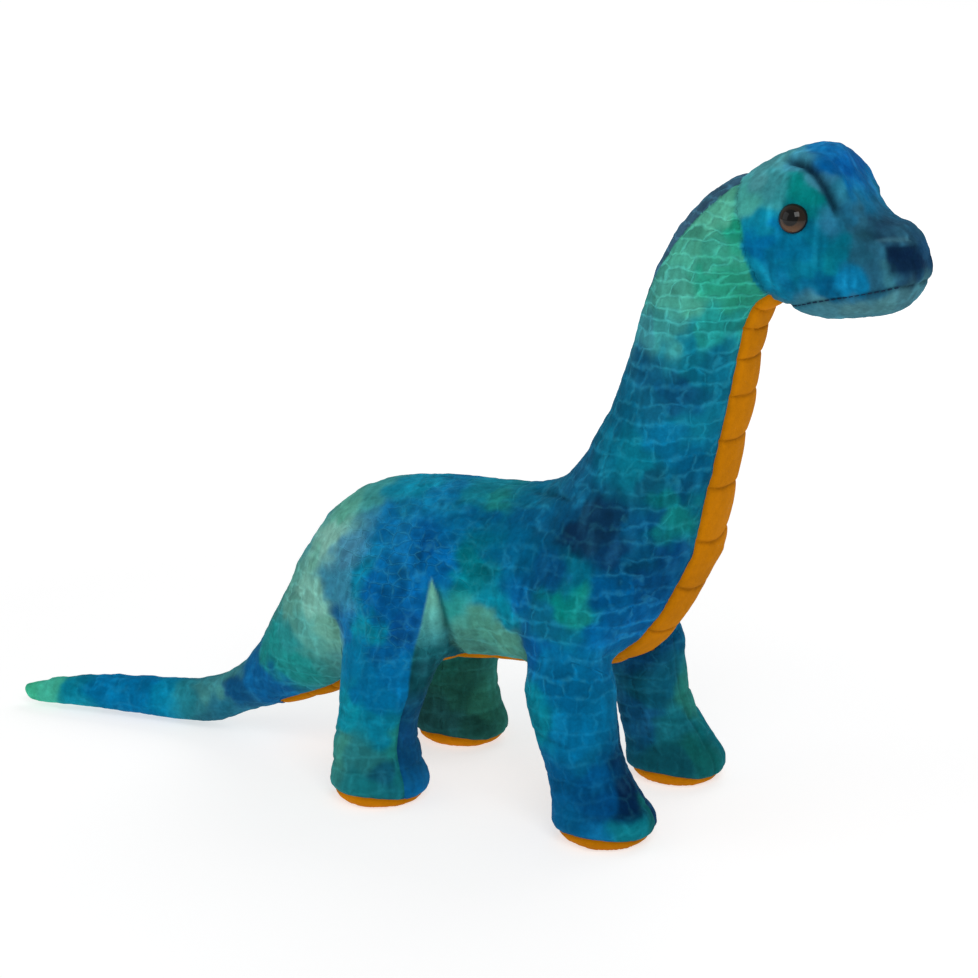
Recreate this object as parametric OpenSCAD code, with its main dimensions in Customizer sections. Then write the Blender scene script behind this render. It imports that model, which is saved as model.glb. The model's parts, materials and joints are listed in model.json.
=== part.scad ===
/* [Whole toy] */
// Length from the tip of the tail to the nose
toy_length = 517; // [430:1:620]
// Thickness of the pile fabric with its backing
fabric_t = 1.6; // [1.2:0.1:2.2]
// Clearance between the fabric and the stuffing inside it
lining_gap = 0.3; // [0.2:0.05:0.6]

/* [Body widths] */
// Half the width of the torso, hips and shoulders left out
torso_half_w = 47; // [42:0.5:52]
// How far the hips and shoulders bulge past the torso
hip_bulge = 14; // [10:0.5:15]
// Half the width of the neck in its slim part
neck_half_w = 32; // [29:0.5:34]
// Half the width of the head at the cheeks
head_half_w = 33; // [30:0.5:36]

/* [Legs] */
// Distance of each foot's middle from the middle plane
foot_spread = 47; // [45:0.5:52]
// Radius of a foot, and of the sole's upper edge
foot_r = 21.5; // [20:0.25:22.5]
// Height of the joint where a leg swings
leg_joint_z = 84; // [80:0.5:88]

/* [Eyes] */
// Diameter of a safety eye
eye_d = 14; // [10:0.5:16]
// Diameter of the lock washer behind the fabric
washer_d = 16; // [14:0.5:20]

/* [Joint travel, each way, in degrees] */
// Neck leaning forwards and backwards at its base
neck_lean = 10; // [4:1:12]
// Head nodding at the seam with the neck
head_nod = 8; // [4:1:9]
// Tail swinging sideways at its root
tail_swing = 20; // [5:1:24]
// Tail's end swinging sideways
tip_swing = 25; // [5:1:30]
// Each leg swinging forwards and backwards
leg_swing = 12; // [4:1:14]

/* [Hidden] */

drawn_length = 517;
k = toy_length / drawn_length;
steps = 24;                  // facets round the body, neck, tail, head and legs
step_deg = 360 / steps;
play = 0.5;                  // half the gap left on a joint's own axis
core_inset = fabric_t + lining_gap;
tail_curve = 20;             // how far the tail's tip curves to the right

// Stations down the body: the back's x and z, the underside's x and z, half the width
tail_end = [
    [-255, 9.5, -255, 2.5, 4], [-248, 14.5, -248, 1, 7], [-232, 19, -232, 0.8, 9.5],
    [-210, 22, -210, 0.8, 11], [-183, 24.5, -183, 0.8, 12]
];
tail_root = [
    [-183, 24.5, -183, 0.8, 12], [-161, 25.5, -161, 0.8, 12.5], [-144, 28.5, -143, 2, 13.5],
    [-128, 35.5, -127, 7, 15], [-112, 47.5, -112, 15, 17.5]
];
torso = [
    [-112, 47.5, -112, 15, 17.5], [-103, 63, -91, 22, 22], [-94, 81, -73, 29, 29],
    [-81, 105, -53, 38, 36], [-65, 132, -36, 49, 42], [-46, 150, -21, 58, 45.5],
    [-23, 159, -5, 64.5, 47], [2, 162, 13, 67.5, 47], [27, 162, 35, 69, 47],
    [51, 163.5, 57, 70.5, 47], [66, 167, 80, 71.5, 47], [76, 173, 104, 76, 47],
    [83, 182, 126, 89.5, 46], [89, 191, 142, 111, 44], [94, 201, 154, 136, 41.5]
];
neck = [
    [94, 201, 154, 136, 41.5], [99.5, 212, 159.5, 162, 38.5], [104, 224, 164.5, 190, 35.5],
    [109, 238, 169.5, 214, 33.5], [113, 256, 172.5, 233, 32.5], [118, 273, 174.5, 246, 32],
    [125, 290, 176.5, 256, 32], [135, 307, 178.5, 263, 32], [149, 322, 181, 268, 32],
    [166, 332, 186, 273, 32]
];
head = [
    [166, 332, 186, 273, 32], [179, 340, 197, 266, 33], [189, 344.5, 203, 264.2, 33.5],
    [200, 348.5, 209, 263.5, 33], [210, 349.5, 216, 264.5, 31.5], [218, 342, 224, 265.5, 29.5],
    [225, 329, 231, 266.5, 27.5], [235, 316.5, 239, 268, 25], [247, 313.5, 247, 271.5, 21],
    [254, 306, 253, 278, 15]
];
nose_tip = [258.5, 0, 293];

// Stations up a leg: height, the middle's x, its distance out, half the length, half the width
rear_leg = [
    [4, -11, 47, 21.5, 21.5], [14, -12, 47, 22, 21.5], [28, -14, 46.5, 21.5, 20],
    [46, -12.5, 45.5, 22, 19], [62, -8.5, 44.5, 25.5, 18.5], [84, -4, 43, 28, 18]
];
front_leg = [
    [4, 117, 47, 22, 21.5], [14, 115.5, 47, 24, 21.5], [28, 109, 46.5, 22.5, 20],
    [46, 102, 45.5, 21.5, 19], [62, 98, 44.5, 22.5, 18.5], [84, 95.5, 43, 25, 18]
];
shoulder_x = 95.5;
hip_x = -4;
hip_spread = 28;             // how far a hip or shoulder spreads along the body
// Degrees round from the back, and the share of the bulge there
bulge_round = [[60, 0], [75, 0.25], [90, 0.75], [105, 1.1], [120, 1.6], [135, 2], [150, 0]];
rear_seam = 30;              // the front seam of a rear leg, degrees round to the outside
front_seam = -15;            // the front seam of a front leg, degrees round to the outside

nape_deg = 30;               // half the nape strip, round the neck from the back
belly_deg = 150;             // the belly panel's edge, round the body from the back
crown_deg = 30;              // half the crown gusset
jaw_deg = 134;               // the jaw panel's edge, and the mouth
mouth_x = 194;               // where the mouth's stitches begin
stitch_r = 0.5;

eye_pos = [198.5, 29.3, 316];
eye_tilt = 14;               // how far an eye looks up from straight sideways
shank_r = 2;
shank_l = 11;
washer_t = 1.5;
dome_h = 4.5;                // how far an eye stands out of the cheek

blue = "#10659c";
teal = "#3fa58f";
slate = "#3f6480";
orange = "#c87d0e";
wadding = "#f2f0ea";

// ---------- curves ----------
function mix(a, b, t) = a + (b - a) * t;

// One point of a Catmull-Rom curve through p1 and p2
function curve(p0, p1, p2, p3, t) =
    0.5 * (2 * p1 + (p2 - p0) * t + (2 * p0 - 5 * p1 + 4 * p2 - p3) * t * t
        + (3 * p1 - p0 - 3 * p2 + p3) * t * t * t);

// A list of stations with one more between each two
function finer(s) = [
    for (i = [0 : len(s) - 2]) each [
        s[i],
        curve(s[max(i - 1, 0)], s[i], s[i + 1], s[min(i + 2, len(s) - 1)], 0.5)
    ],
    s[len(s) - 1]
];

// How far the tail has curved to the right at x
function sway(x) = x > -100 ? 0 : -tail_curve * pow((-100 - x) / 160, 2);

// Hips and shoulders: they swell the lower flanks out to the outer side of the legs
function bulge(x, a) = hip_bulge * lookup(abs(a), bulge_round)
    * (exp(-pow((x - hip_x) / hip_spread, 2)) + exp(-pow((x - shoulder_x) / hip_spread, 2)));

// Half widths are drawn for the default figures and follow the driving dimensions
width_scale = [
    [-100, 1], [-60, torso_half_w / 47], [70, torso_half_w / 47], [94, 1],
    [113, neck_half_w / 32], [160, neck_half_w / 32], [190, head_half_w / 33], [230, 1]
];
function half_w(s) = s[4] * lookup(s[0], width_scale);

// A point on a station's ring, a degrees round from the back, positive to the left
function ring_point(s, a, inset) =
    let (
        half = [s[0] - s[2], 0, s[1] - s[3]] / 2,
        mid = [(s[0] + s[2]) / 2, 0, (s[1] + s[3]) / 2],
        size = norm(half),
        base = mid + half * cos(a) * (size - inset) / size,
        out = sin(a) * (half_w(s) + bulge(base[0], a) - inset)
    )
    [base[0], out + sway(base[0]), base[2]] * k;

// A joint's ring: it draws back from the hinge so that the faces part over the travel
function joint_point(s, a, inset, way, travel, sideways) =
    let (
        half = [s[0] - s[2], 0, s[1] - s[3]] / 2,
        along = [half[2], 0, -half[0]] / norm(half),
        reach = abs(sideways ? sin(a) * half_w(s) : cos(a) * norm(half)),
        back = play + reach * tan(travel / 2)
    )
    ring_point(s, a, inset) + along * way * back;

function middle(s) = [(s[0] + s[2]) / 2, sway((s[0] + s[2]) / 2), (s[1] + s[3]) / 2] * k;
function apex(s, way) =
    let (half = [s[0] - s[2], 0, s[1] - s[3]] / 2)
    middle(s) + [half[2], 0, -half[0]] / norm(half) * way * play;

// Every ring of one body part. Each end is [way, travel, sideways] for a joint, or [0, 0, false]
function rings(stations, angles, inset, first, last) =
    let (s = finer(stations), n = len(s) - 1)
    [for (i = [0 : n]) [for (a = angles)
        let (end = i == 0 ? first : i == n ? last : [0, 0, false])
        end[0] == 0 ? ring_point(s[i], a, inset)
            : joint_point(s[i], a, inset, end[0], end[1], end[2])]];

function round_angles() = [for (i = [0 : steps - 1]) i * step_deg - 180];
function arc_angles(from, to) =
    let (n = max(2, round((to - from) / step_deg)))
    [for (i = [0 : n]) mix(from, to, i / n)];

// ---------- solids from rings ----------
// A closed solid from rings of equal length, with a fan to a point at each end
module swept(r, start, end) {
    n = len(r[0]);
    m = len(r);
    points = [each [for (ring = r) each ring], start, end];
    faces = [
        for (i = [0 : m - 2]) for (j = [0 : n - 1]) each [
            [i * n + j, i * n + (j + 1) % n, (i + 1) * n + j],
            [(i + 1) * n + j, i * n + (j + 1) % n, (i + 1) * n + (j + 1) % n]
        ],
        for (j = [0 : n - 1]) [m * n, (j + 1) % n, j],
        for (j = [0 : n - 1]) [m * n + 1, (m - 1) * n + j, (m - 1) * n + (j + 1) % n]
    ];
    polyhedron(points, faces);
}

// A sheet with a thickness: the outer grid, the inner grid and the four edges
module sheet(outer, inner) {
    n = len(outer[0]);
    m = len(outer);
    q = n * m;
    function at(i, j) = i * n + j;
    points = [for (ring = outer) each ring, for (ring = inner) each ring];
    faces = [
        for (i = [0 : m - 2]) for (j = [0 : n - 2]) each [
            [at(i, j), at(i, j + 1), at(i + 1, j)],
            [at(i + 1, j), at(i, j + 1), at(i + 1, j + 1)],
            [q + at(i, j), q + at(i + 1, j), q + at(i, j + 1)],
            [q + at(i + 1, j), q + at(i + 1, j + 1), q + at(i, j + 1)]
        ],
        for (i = [0 : m - 2]) each [
            [at(i, 0), at(i + 1, 0), q + at(i, 0)],
            [q + at(i, 0), at(i + 1, 0), q + at(i + 1, 0)],
            [at(i, n - 1), q + at(i, n - 1), at(i + 1, n - 1)],
            [q + at(i, n - 1), q + at(i + 1, n - 1), at(i + 1, n - 1)]
        ],
        for (j = [0 : n - 2]) each [
            [at(0, j), q + at(0, j), at(0, j + 1)],
            [q + at(0, j), q + at(0, j + 1), at(0, j + 1)],
            [at(m - 1, j), at(m - 1, j + 1), q + at(m - 1, j)],
            [q + at(m - 1, j), at(m - 1, j + 1), q + at(m - 1, j + 1)]
        ]
    ];
    polyhedron(points, faces);
}

// A fabric panel on part of the rings, and the stuffing inside them
module panel(stations, from, to, first, last) {
    a = arc_angles(from, to);
    sheet(rings(stations, a, 0, first, last), rings(stations, a, fabric_t, first, last));
}

module stuffing(stations, first, last, start, end) {
    color(wadding) swept(rings(stations, round_angles(), core_inset, first, last), start, end);
}

// ---------- torso ----------
torso_first = [1, tail_swing, true];
torso_last = [-1, neck_lean, false];
neck_station = neck[0];
tail_station = tail_root[len(tail_root) - 1];

// The room that a swinging leg needs under the hip or shoulder, on the right
module leg_room(x, half) {
    rise = half * tan(leg_swing / 2);
    side = half + 9;
    inner_y = front_leg[5][2] - front_leg[5][4] - 1;
    translate([x * k, -inner_y * k, 0]) rotate([90, 0, 0])
        linear_extrude(60 * k)
            polygon([
                [0, leg_joint_z * k + play], [half * k, (leg_joint_z + rise) * k + play],
                [side * k, (leg_joint_z + rise) * k + play], [side * k, 20 * k],
                [-side * k, 20 * k], [-side * k, (leg_joint_z + rise) * k + play],
                [-half * k, (leg_joint_z + rise) * k + play]
            ]);
}

module right_leg_rooms() {
    leg_room(hip_x, rear_leg[5][3]);
    leg_room(shoulder_x, front_leg[5][3]);
}

module torso_stuffing() {
    color(wadding) difference() {
        swept(rings(torso, round_angles(), core_inset, torso_first, torso_last),
            apex(tail_station, 1), apex(neck_station, -1));
        right_leg_rooms();
        mirror([0, 1, 0]) right_leg_rooms();
    }
}

module body_side_right() {
    color(blue) difference() {
        panel(torso, -belly_deg, 0, torso_first, torso_last);
        right_leg_rooms();
    }
}

module body_side_left() {
    color(blue) difference() {
        panel(torso, 0, belly_deg, torso_first, torso_last);
        mirror([0, 1, 0]) right_leg_rooms();
    }
}

module belly_panel() {
    color(orange) panel(torso, belly_deg, 360 - belly_deg, torso_first, torso_last);
}

// ---------- neck ----------
neck_first = [1, neck_lean, false];
neck_last = [-1, head_nod, false];
head_station = head[0];

module neck_stuffing() {
    stuffing(neck, neck_first, neck_last, apex(neck_station, 1), apex(head_station, -1));
}

module neck_side_right() {
    color(teal) panel(neck, -belly_deg, -nape_deg, neck_first, neck_last);
}

module neck_side_left() {
    color(teal) panel(neck, nape_deg, belly_deg, neck_first, neck_last);
}

module nape_strip() {
    color(slate) panel(neck, -nape_deg, nape_deg, neck_first, neck_last);
}

module throat_panel() {
    color(orange) panel(neck, belly_deg, 360 - belly_deg, neck_first, neck_last);
}

// ---------- head ----------
head_first = [1, head_nod, false];
head_last = [0, 0, false];

module head_stuffing() {
    stuffing(head, head_first, head_last, apex(head_station, 1), (nose_tip - [core_inset, 0, 0]) * k);
}

module cheek_left() {
    color(blue) panel(head, crown_deg, jaw_deg, head_first, head_last);
}

module cheek_right() {
    mirror([0, 1, 0]) cheek_left();
}

module crown_gusset() {
    color(slate) panel(head, -crown_deg, crown_deg, head_first, head_last);
}

module jaw_panel() {
    color(slate) {
        panel(head, jaw_deg, 360 - jaw_deg, head_first, head_last);
        nose_cap();
    }
}

// The end of the snout, which closes the rings of the head
module nose_cap() {
    last = head[len(head) - 1];
    a = round_angles();
    rim = [for (v = a) ring_point(last, v, 0)];
    rim_in = [for (v = a) ring_point(last, v, fabric_t)];
    shoulder = [for (v = a) mix(ring_point(last, v, 1), nose_tip * k, 0.45) + [1.2, 0, 0]];
    tip = nose_tip * k;
    swept([rim_in, [for (p = rim) p + [0.05, 0, 0]], shoulder], tip - [fabric_t, 0, 0], tip);
}

// The mouth's thread lies just proud of the seam above the jaw, on both sides
module mouth_stitch() {
    s = [for (p = finer(head)) if (p[0] > mouth_x) p];
    color("#16324a") for (side = [-1, 1])
        swept([for (p = s) [for (v = [0 : 60 : 300])
            ring_point(p, side * jaw_deg, -0.7) + stitch_r * [0, sin(v), cos(v)]]],
            ring_point(s[0], side * jaw_deg, -0.7),
            ring_point(s[len(s) - 1], side * jaw_deg, -0.7));
}

// ---------- eyes ----------
module at_eye(side) {
    translate([eye_pos[0], side * eye_pos[1], eye_pos[2]] * k)
        rotate([side * (-90 + eye_tilt), 0, 0])
            children();
}

module eye(side) {
    r = eye_d / 2;
    ball = (r * r + dome_h * dome_h) / (2 * dome_h);
    color("#3a2415") at_eye(side) rotate_extrude($fn = 48)
        polygon([
            [0, -shank_l], [shank_r, -shank_l], [shank_r, 1.2], [r, 1.2],
            for (i = [0 : 8])
                let (z = dome_h * i / 8)
                [sqrt(max(0, ball * ball - pow(z + ball - dome_h, 2))), z + 1.2]
        ]);
}

module eye_washer(side) {
    color("#e8e6de") at_eye(side) translate([0, 0, -shank_l + 3]) difference() {
        cylinder(h = washer_t, r = washer_d / 2, $fn = 48);
        translate([0, 0, -1]) cylinder(h = washer_t + 2, r = shank_r, $fn = 48);
    }
}

module eye_right() {
    eye(-1);
}

module eye_left() {
    eye(1);
}

module eye_washer_right() {
    eye_washer(-1);
}

module eye_washer_left() {
    eye_washer(1);
}

// ---------- tail ----------
root_first = [1, tip_swing, true];
root_last = [-1, tail_swing, true];
end_last = [-1, tip_swing, true];
tip_station = tail_root[0];
tail_tip = [-260.4, sway(-260), 6];

module tail_root_stuffing() {
    stuffing(tail_root, root_first, root_last, apex(tip_station, 1), apex(tail_station, -1));
}

module tail_root_right() {
    color(blue) panel(tail_root, -180, 0, root_first, root_last);
}

module tail_root_left() {
    color(blue) panel(tail_root, 0, 180, root_first, root_last);
}

module tail_end_stuffing() {
    stuffing(tail_end, [0, 0, false], end_last,
        (tail_tip + [core_inset, 0, 0]) * k, apex(tip_station, -1));
}

module tail_end_right() {
    color(teal) panel(tail_end, -180, 0, [0, 0, false], end_last);
}

module tail_end_left() {
    color(teal) panel(tail_end, 0, 180, [0, 0, false], end_last);
}

// ---------- legs ----------
function leg_w(s) = [s[0], s[1], s[2] - 47 + foot_spread, s[3], s[4]];

// A point on a right leg's ring, a degrees round from the front towards the outside
function leg_point(s, a, inset, top) =
    let (
        x = s[1] + (s[3] - inset) * cos(a),
        y = s[2] + (s[4] - inset) * sin(a),
        drop = play + abs(x - s[1]) * tan(leg_swing / 2),
        z = top ? s[0] - 84 + leg_joint_z - drop : s[0]
    )
    [x, -y, z] * k;

function leg_rings(stations, angles, inset) =
    let (n = len(stations) - 1)
    [for (i = [0 : n]) [for (a = angles) leg_point(leg_w(stations[i]), a, inset, i == n)]];

module on_side(side) {
    if (side > 0) mirror([0, 1, 0]) children();
    else children();
}

module leg_stuffing(stations, side) {
    top = leg_w(stations[5]);
    foot = leg_w(stations[0]);
    color(wadding) on_side(side)
        swept(leg_rings(stations, round_angles(), core_inset),
            [foot[1], -foot[2], foot[0]] * k,
            [top[1], -top[2], leg_joint_z - play] * k);
}

module leg_panel(stations, from, to, side) {
    a = arc_angles(from, to);
    color(blue) on_side(side)
        sheet(leg_rings(stations, a, 0), leg_rings(stations, a, fabric_t));
}

// A sole is a flat pad whose edge turns up to meet the leg's fabric
module sole(stations, side) {
    foot = leg_w(stations[0]);
    color(orange) translate([foot[1], side * foot[2], 0] * k)
        cylinder(h = foot[0] * k - 0.05, r1 = (foot_r - 4) * k, r2 = foot_r * k, $fn = 64);
}

torso_stuffing();
body_side_right();
body_side_left();
belly_panel();
neck_stuffing();
neck_side_right();
neck_side_left();
nape_strip();
throat_panel();
head_stuffing();
cheek_right();
cheek_left();
crown_gusset();
jaw_panel();
mouth_stitch();
eye_right();
eye_left();
eye_washer_right();
eye_washer_left();
tail_root_stuffing();
tail_root_right();
tail_root_left();
tail_end_stuffing();
tail_end_right();
tail_end_left();
leg_stuffing(front_leg, -1);  // front_right_leg_stuffing
leg_panel(front_leg, front_seam, 180, -1);  // front_right_leg_outer
leg_panel(front_leg, 180, 360 + front_seam, -1);  // front_right_leg_inner
sole(front_leg, -1);  // front_right_sole
leg_stuffing(front_leg, 1);  // front_left_leg_stuffing
leg_panel(front_leg, front_seam, 180, 1);  // front_left_leg_outer
leg_panel(front_leg, 180, 360 + front_seam, 1);  // front_left_leg_inner
sole(front_leg, 1);  // front_left_sole
leg_stuffing(rear_leg, -1);  // rear_right_leg_stuffing
leg_panel(rear_leg, rear_seam, 180, -1);  // rear_right_leg_outer
leg_panel(rear_leg, 180, 360 + rear_seam, -1);  // rear_right_leg_inner
sole(rear_leg, -1);  // rear_right_sole
leg_stuffing(rear_leg, 1);  // rear_left_leg_stuffing
leg_panel(rear_leg, rear_seam, 180, 1);  // rear_left_leg_outer
leg_panel(rear_leg, 180, 360 + rear_seam, 1);  // rear_left_leg_inner
sole(rear_leg, 1);  // rear_left_sole
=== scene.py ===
import json
import math

import bpy
import bmesh
import numpy as np
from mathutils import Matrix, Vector


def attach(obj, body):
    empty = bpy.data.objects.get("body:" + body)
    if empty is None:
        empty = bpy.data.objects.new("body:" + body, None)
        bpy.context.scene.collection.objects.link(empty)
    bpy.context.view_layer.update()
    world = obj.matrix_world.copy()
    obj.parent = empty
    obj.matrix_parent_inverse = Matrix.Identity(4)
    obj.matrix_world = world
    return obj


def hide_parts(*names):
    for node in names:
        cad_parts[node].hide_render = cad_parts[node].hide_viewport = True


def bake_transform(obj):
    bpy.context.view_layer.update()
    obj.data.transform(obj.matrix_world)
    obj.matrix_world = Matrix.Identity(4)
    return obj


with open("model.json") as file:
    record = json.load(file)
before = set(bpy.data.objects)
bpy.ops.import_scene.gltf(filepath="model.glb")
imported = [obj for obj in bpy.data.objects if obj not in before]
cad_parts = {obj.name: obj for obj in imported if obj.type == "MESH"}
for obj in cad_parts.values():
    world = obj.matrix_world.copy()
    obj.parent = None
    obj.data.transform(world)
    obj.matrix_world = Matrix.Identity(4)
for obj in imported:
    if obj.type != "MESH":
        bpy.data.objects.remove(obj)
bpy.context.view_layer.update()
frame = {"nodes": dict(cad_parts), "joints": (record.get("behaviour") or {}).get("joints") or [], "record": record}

MM = 0.001
JOINTS = {j["name"]: j for j in frame["joints"]}


def joint_place(name):
    return np.array(JOINTS[name]["pos_m"], float)


NECK_ROOT = joint_place("neck_lean")
HEAD_SEAM = joint_place("head_nod")
TAIL_ROOT = joint_place("tail_swing")
TAIL_HALF = joint_place("tip_swing")


# ---------- studio ----------
def camera():
    azimuth, elevation, distance = math.radians(26.3), math.radians(15.8), 1.383
    look = Vector((0.0289, 0.0, 0.1575))
    back = Vector((
        math.sin(azimuth) * math.cos(elevation),
        -math.cos(azimuth) * math.cos(elevation),
        math.sin(elevation),
    ))
    data = bpy.data.cameras.new("camera")
    data.lens = 99.1
    data.sensor_width = 36.0
    cam = bpy.data.objects.new("camera", data)
    bpy.context.scene.collection.objects.link(cam)
    cam.location = look + back * distance
    cam.rotation_mode = "QUATERNION"
    cam.rotation_quaternion = (-back).to_track_quat("-Z", "Y")
    bpy.context.scene.camera = cam


camera()


# ---------- mesh helpers ----------
def new_object(name, points, faces):
    mesh = bpy.data.meshes.new(name)
    mesh.from_pydata([tuple(p) for p in points], [], [tuple(int(i) for i in f) for f in faces])
    mesh.update()
    obj = bpy.data.objects.new(name, mesh)
    bpy.context.scene.collection.objects.link(obj)
    return obj


def node_points(name):
    mesh = frame["nodes"][name].data
    co = np.empty(len(mesh.vertices) * 3, np.float32)
    mesh.vertices.foreach_get("co", co)
    return co.reshape(-1, 3).astype(float)


def add_node(bm, name):
    """A copy of a CAD node, closed up, goes into bm."""
    part = bmesh.new()
    part.from_mesh(frame["nodes"][name].data)
    bmesh.ops.remove_doubles(part, verts=part.verts, dist=1e-6)
    mesh = bpy.data.meshes.new("part")
    part.to_mesh(mesh)
    part.free()
    bm.from_mesh(mesh)
    bpy.data.meshes.remove(mesh)


def add_hull(bm, points):
    """The convex hull of some points fills a gap between two CAD nodes."""
    verts = [bm.verts.new(p) for p in points]
    made = bmesh.ops.convex_hull(bm, input=verts)
    loose = [g for g in made["geom_interior"] + made["geom_unused"] if isinstance(g, bmesh.types.BMVert)]
    bmesh.ops.delete(bm, geom=list(set(loose)), context="VERTS")


def remeshed(bm, name, voxel):
    mesh = bpy.data.meshes.new(name)
    bm.to_mesh(mesh)
    bm.free()
    obj = bpy.data.objects.new(name, mesh)
    bpy.context.scene.collection.objects.link(obj)
    modifier = obj.modifiers.new("remesh", "REMESH")
    modifier.mode = "VOXEL"
    modifier.voxel_size = voxel
    baked = bpy.data.meshes.new_from_object(obj.evaluated_get(bpy.context.evaluated_depsgraph_get()))
    obj.modifiers.clear()
    obj.data = baked
    return obj


def near(points, centre, normal, reach):
    return points[np.abs((points - centre) @ normal) < reach]


# ---------- the stuffed skin of tail, torso, legs and neck ----------
FACE_PARTS = ("eye_right", "eye_left", "eye_washer_right", "eye_washer_left", "mouth_stitch")
BODY_NODES = [
    n for b in ("torso", "neck", "head", "tail_root", "tail_end")
    for n in frame["record"]["behaviour"]["bodies"][b] if n not in FACE_PARTS
]
LEGS = {
    f"{end}_{side}": {"front": end == "front", "side": -1 if side == "right" else 1,
                      "pivot": joint_place(f"{end}_{side}_leg_swing")}
    for end in ("front", "rear") for side in ("right", "left")
}
NECK_ALONG = np.array([0.735, 0, 0.678])
SEAM_ALONG = np.array([0.947, 0, 0.321])


def leg_nodes(leg):
    return [f"{leg}_leg_outer", f"{leg}_leg_inner", f"{leg}_leg_stuffing", f"{leg}_sole"]


def base_skin():
    bm = bmesh.new()
    for name in BODY_NODES:
        add_node(bm, name)
    body = np.concatenate([node_points(n) for n in BODY_NODES])
    for centre, along in ((NECK_ROOT, NECK_ALONG), (TAIL_ROOT, np.array([1.0, 0, 0])),
                          (TAIL_HALF, np.array([1.0, 0, 0]))):
        add_hull(bm, near(body, centre, along, 0.009))
    tip = node_points("neck_stuffing")
    head = node_points("head_stuffing")
    add_hull(bm, np.concatenate([near(tip, HEAD_SEAM, SEAM_ALONG, 0.008),
                                 near(head, HEAD_SEAM, SEAM_ALONG, 0.008) - SEAM_ALONG * 0.001]))
    muzzle = [(x * MM, y * w * MM, z * MM)
              for x, w, low, high in ((236, 23, 275, 313), (248, 18, 280, 311.5), (254, 13, 285, 305))
              for y, z in ((0.45, high), (0.8, high - 4), (1, high - 10),
                           (1, low + 8), (0.8, low + 3), (0.4, low))]
    add_hull(bm, np.concatenate([np.array(muzzle), np.array(muzzle) * (1, -1, 1)]))
    ball = [(math.cos(a) * math.cos(b), math.sin(a) * math.cos(b), math.sin(b))
            for a in np.arange(0, 6.28, 0.52) for b in (-1.57, -0.9, -0.4, 0, 0.4, 0.9, 1.57)]
    add_hull(bm, (np.array(ball) * (9, 6, 6.5) + (-250, sway(-0.25) / MM, 8.5)) * MM)
    torso = np.concatenate([node_points(n) for n in ("body_side_right", "body_side_left")])
    for leg, at in LEGS.items():
        for name in leg_nodes(leg):
            add_node(bm, name)
        own = np.concatenate([node_points(n) for n in leg_nodes(leg)[:2]])
        out = torso[:, 1] * at["side"]
        along = np.abs(torso[:, 0] - at["pivot"][0])
        hip = (along < 0.024) & (out > 0.030) & (torso[:, 2] > 0.083) & (torso[:, 2] < 0.104)
        add_hull(bm, np.concatenate([own[own[:, 2] > 0.062], torso[hip]]))
        flank = (along < 0.044) & (out > 0.018) & (out < 0.047) & (torso[:, 2] < 0.100)
        add_hull(bm, torso[flank])
    return remeshed(bm, "skin", 0.0040)


# ---------- points on the skin ----------
# Down the toy: the back's x and z, the underside's x and z and half the width, in millimetres
STATIONS = np.array((
    (-262, 8, -262, 4, 2), (-255, 9.5, -255, 2.5, 4), (-232, 19, -232, 0.8, 9.5), (-210, 22, -210, 0.8, 11),
    (-183, 24.5, -183, 0.8, 12), (-161, 25.5, -161, 0.8, 12.5), (-144, 28.5, -143, 2, 13.5),
    (-128, 35.5, -127, 7, 15), (-112, 47.5, -112, 15, 17.5), (-103, 63, -91, 22, 22), (-94, 81, -73, 29, 29),
    (-81, 105, -53, 38, 36), (-65, 132, -36, 49, 42), (-46, 150, -21, 58, 45.5), (-23, 159, -5, 64.5, 47),
    (2, 162, 13, 67.5, 47), (27, 162, 35, 69, 47), (51, 163.5, 57, 70.5, 47), (66, 167, 80, 71.5, 47),
    (76, 173, 104, 76, 47), (83, 182, 126, 89.5, 46), (89, 191, 142, 111, 44), (94, 201, 154, 136, 41.5),
    (99.5, 212, 159.5, 162, 38.5), (104, 224, 164.5, 190, 35.5), (109, 238, 169.5, 214, 33.5),
    (113, 256, 172.5, 233, 32.5), (118, 273, 174.5, 246, 32), (125, 290, 176.5, 256, 32),
    (135, 307, 178.5, 263, 32), (149, 322, 181, 268, 32), (166, 332, 186, 273, 32),
    (179, 340, 197, 266, 33), (189, 344.5, 203, 264.2, 33.5), (200, 348.5, 209, 263.5, 33),
    (210, 349.5, 216, 264.5, 31.5),
    (218, 342, 224, 265.5, 29.5), (225, 329, 231, 266.5, 27.5), (235, 316.5, 239, 268, 25),
    (247, 313.5, 247, 271.5, 21), (254, 306, 253, 278, 15), (262, 300, 262, 286, 6),
)) * MM


def sway(x):
    """How far the middle of the tail lies to the right."""
    return -20 * MM * (np.clip(-100 * MM - x, 0, None) / (160 * MM)) ** 2


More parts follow.
